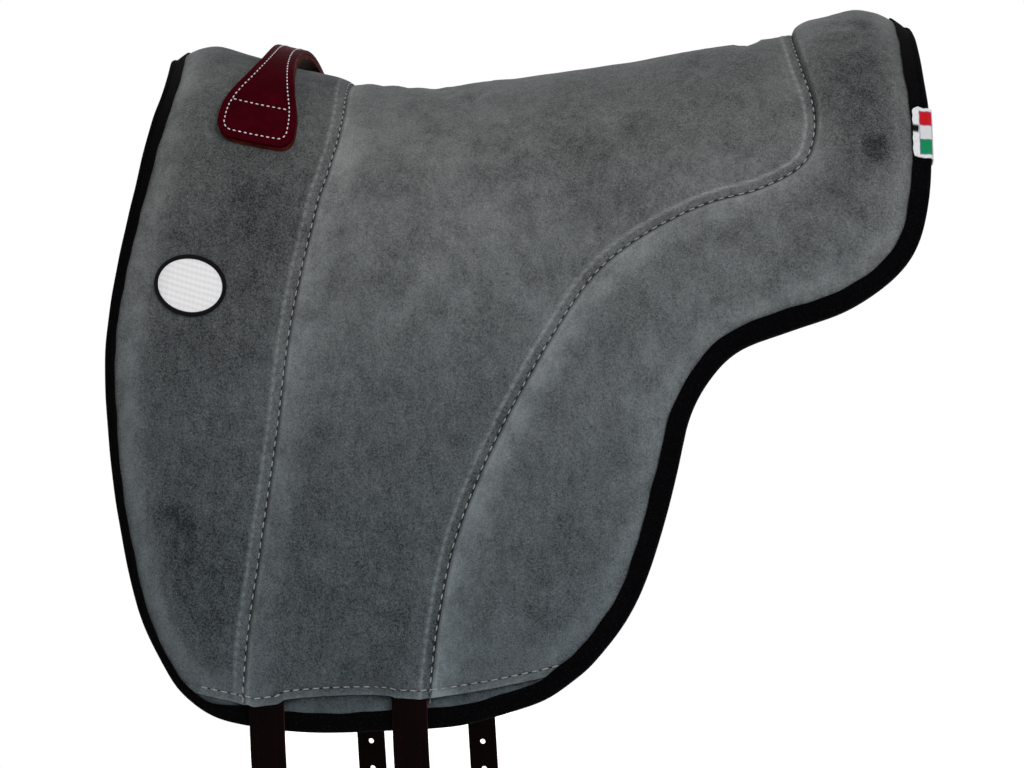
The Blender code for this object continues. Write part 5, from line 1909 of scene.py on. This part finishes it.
def stage_floor(sizes):
    """A pale round floor just below the billets, which looks whiter to the camera than it lights the pad."""
    bm = bmesh.new()
    bmesh.ops.create_circle(bm, cap_ends=True, segments=96, radius=sizes.floor_radius)
    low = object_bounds()[0].z
    bmesh.ops.translate(bm, verts=bm.verts[:], vec=(0, 0, low - 0.004))
    made = Finish("pale_floor")
    speck = made.noise(made.place(), 60, 3)
    path = made.add("ShaderNodeLightPath")
    seen = made.math("MAXIMUM", path.outputs["Is Camera Ray"], path.outputs["Is Glossy Ray"])
    seen = made.math("MAXIMUM", seen, path.outputs["Is Transmission Ray"])
    made.feed(made.shader.inputs["Emission Strength"], made.math("MULTIPLY", seen, sizes.floor_glow))
    made.done(made.mix(speck, (0.86, 0.86, 0.86), (0.90, 0.90, 0.90)), 0.9, Emission_Color=(1, 1, 1, 1))
    shown("floor", bm, [made.material])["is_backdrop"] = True


def stage_world(sizes):
    """A world that looks white to the camera and lights the pad more softly."""
    world = bpy.data.worlds.new("studio")
    bpy.context.scene.world = world
    world.use_nodes = True
    tree = world.node_tree
    light = tree.nodes["Background"]
    light.inputs["Color"].default_value = (1, 1, 1, 1)
    path = tree.nodes.new("ShaderNodeLightPath")
    seen = None
    for name in ("Is Camera Ray", "Is Glossy Ray", "Is Transmission Ray"):
        node = tree.nodes.new("ShaderNodeMath")
        node.operation = "MAXIMUM"
        tree.links.new(path.outputs[name], node.inputs[0])
        node.inputs[1].default_value = 0
        if seen is not None:
            tree.links.new(seen, node.inputs[1])
        seen = node.outputs[0]
    strength = tree.nodes.new("ShaderNodeMapRange")
    tree.links.new(seen, strength.inputs["Value"])
    strength.inputs["To Min"].default_value = sizes.room_light
    strength.inputs["To Max"].default_value = 1
    tree.links.new(strength.outputs["Result"], light.inputs["Strength"])


def soft_lamp(name, place, size, power):
    """A round lamp that faces the middle of the pad."""
    data = bpy.data.lights.new(name, "AREA")
    data.shape = "DISK"
    data.size = size
    data.energy = power
    lamp = bpy.data.objects.new(name, data)
    lamp.location = place
    aim = Vector((0.02, 0, -0.18)) - Vector(place)
    lamp.rotation_euler = aim.to_track_quat("-Z", "Y").to_euler()
    bpy.context.scene.collection.objects.link(lamp)


def stage_camera():
    """Nearly square to the near side, a little from the rear and above, slightly rolled."""
    level = Vector((math.sin(CAMERA_TURN), -math.cos(CAMERA_TURN), 0))
    back = level * math.cos(CAMERA_RISE) + Vector((0, 0, math.sin(CAMERA_RISE)))
    right = Vector((math.cos(CAMERA_TURN), math.sin(CAMERA_TURN), 0))
    up = back.cross(right)
    across = right * math.cos(CAMERA_ROLL) - up * math.sin(CAMERA_ROLL)
    upright = up * math.cos(CAMERA_ROLL) + right * math.sin(CAMERA_ROLL)
    data = bpy.data.cameras.new("camera")
    data.sensor_width = SENSOR_WIDTH
    data.lens = FOCAL_PIXELS / PICTURE_WIDTH * SENSOR_WIDTH
    camera = bpy.data.objects.new("camera", data)
    place = Vector(CAMERA_AIM) + back * CAMERA_DISTANCE
    axes = Matrix((across, upright, back)).transposed()
    camera.matrix_world = Matrix.Translation(place) @ axes.to_4x4()
    bpy.context.scene.collection.objects.link(camera)
    bpy.context.scene.camera = camera


STEPS = (
    PAD_OT_covers, PAD_OT_strips, PAD_OT_binding, PAD_OT_lining, PAD_OT_stitching, PAD_OT_handle, PAD_OT_trim,
    PAD_OT_billets, PAD_OT_stage,
)


class PAD_PT_sidebar(bpy.types.Panel):
    """The pad's pieces and their sizes"""

    bl_idname = "PAD_PT_sidebar"
    bl_label = "Bareback pad"
    bl_space_type = "VIEW_3D"
    bl_region_type = "UI"
    bl_category = "Bareback pad"

    def draw(self, context):
        for group in (context.scene.pad_sizes, context.scene.stage_sizes):
            for name in group.bl_rna.properties.keys():
                if name not in ("rna_type", "name"):
                    self.layout.prop(group, name)
        for step in STEPS:
            self.layout.operator(step.bl_idname)


CLASSES = (PadSizes, StageSizes, *STEPS, PAD_PT_sidebar)


def register():
    for item in CLASSES:
        bpy.utils.register_class(item)
    bpy.types.Scene.pad_sizes = bpy.props.PointerProperty(type=PadSizes)
    bpy.types.Scene.stage_sizes = bpy.props.PointerProperty(type=StageSizes)


def unregister():
    del bpy.types.Scene.stage_sizes
    del bpy.types.Scene.pad_sizes
    for item in reversed(CLASSES):
        bpy.utils.unregister_class(item)


def main():
    for old in ("Cube", "Light", "Camera"):
        if old in bpy.data.objects:
            bpy.data.objects.remove(bpy.data.objects[old], do_unlink=True)
    register()
    for step in STEPS:
        group, name = step.bl_idname.split(".")
        getattr(getattr(bpy.ops, group), name)()


if __name__ == "__main__":
    main()
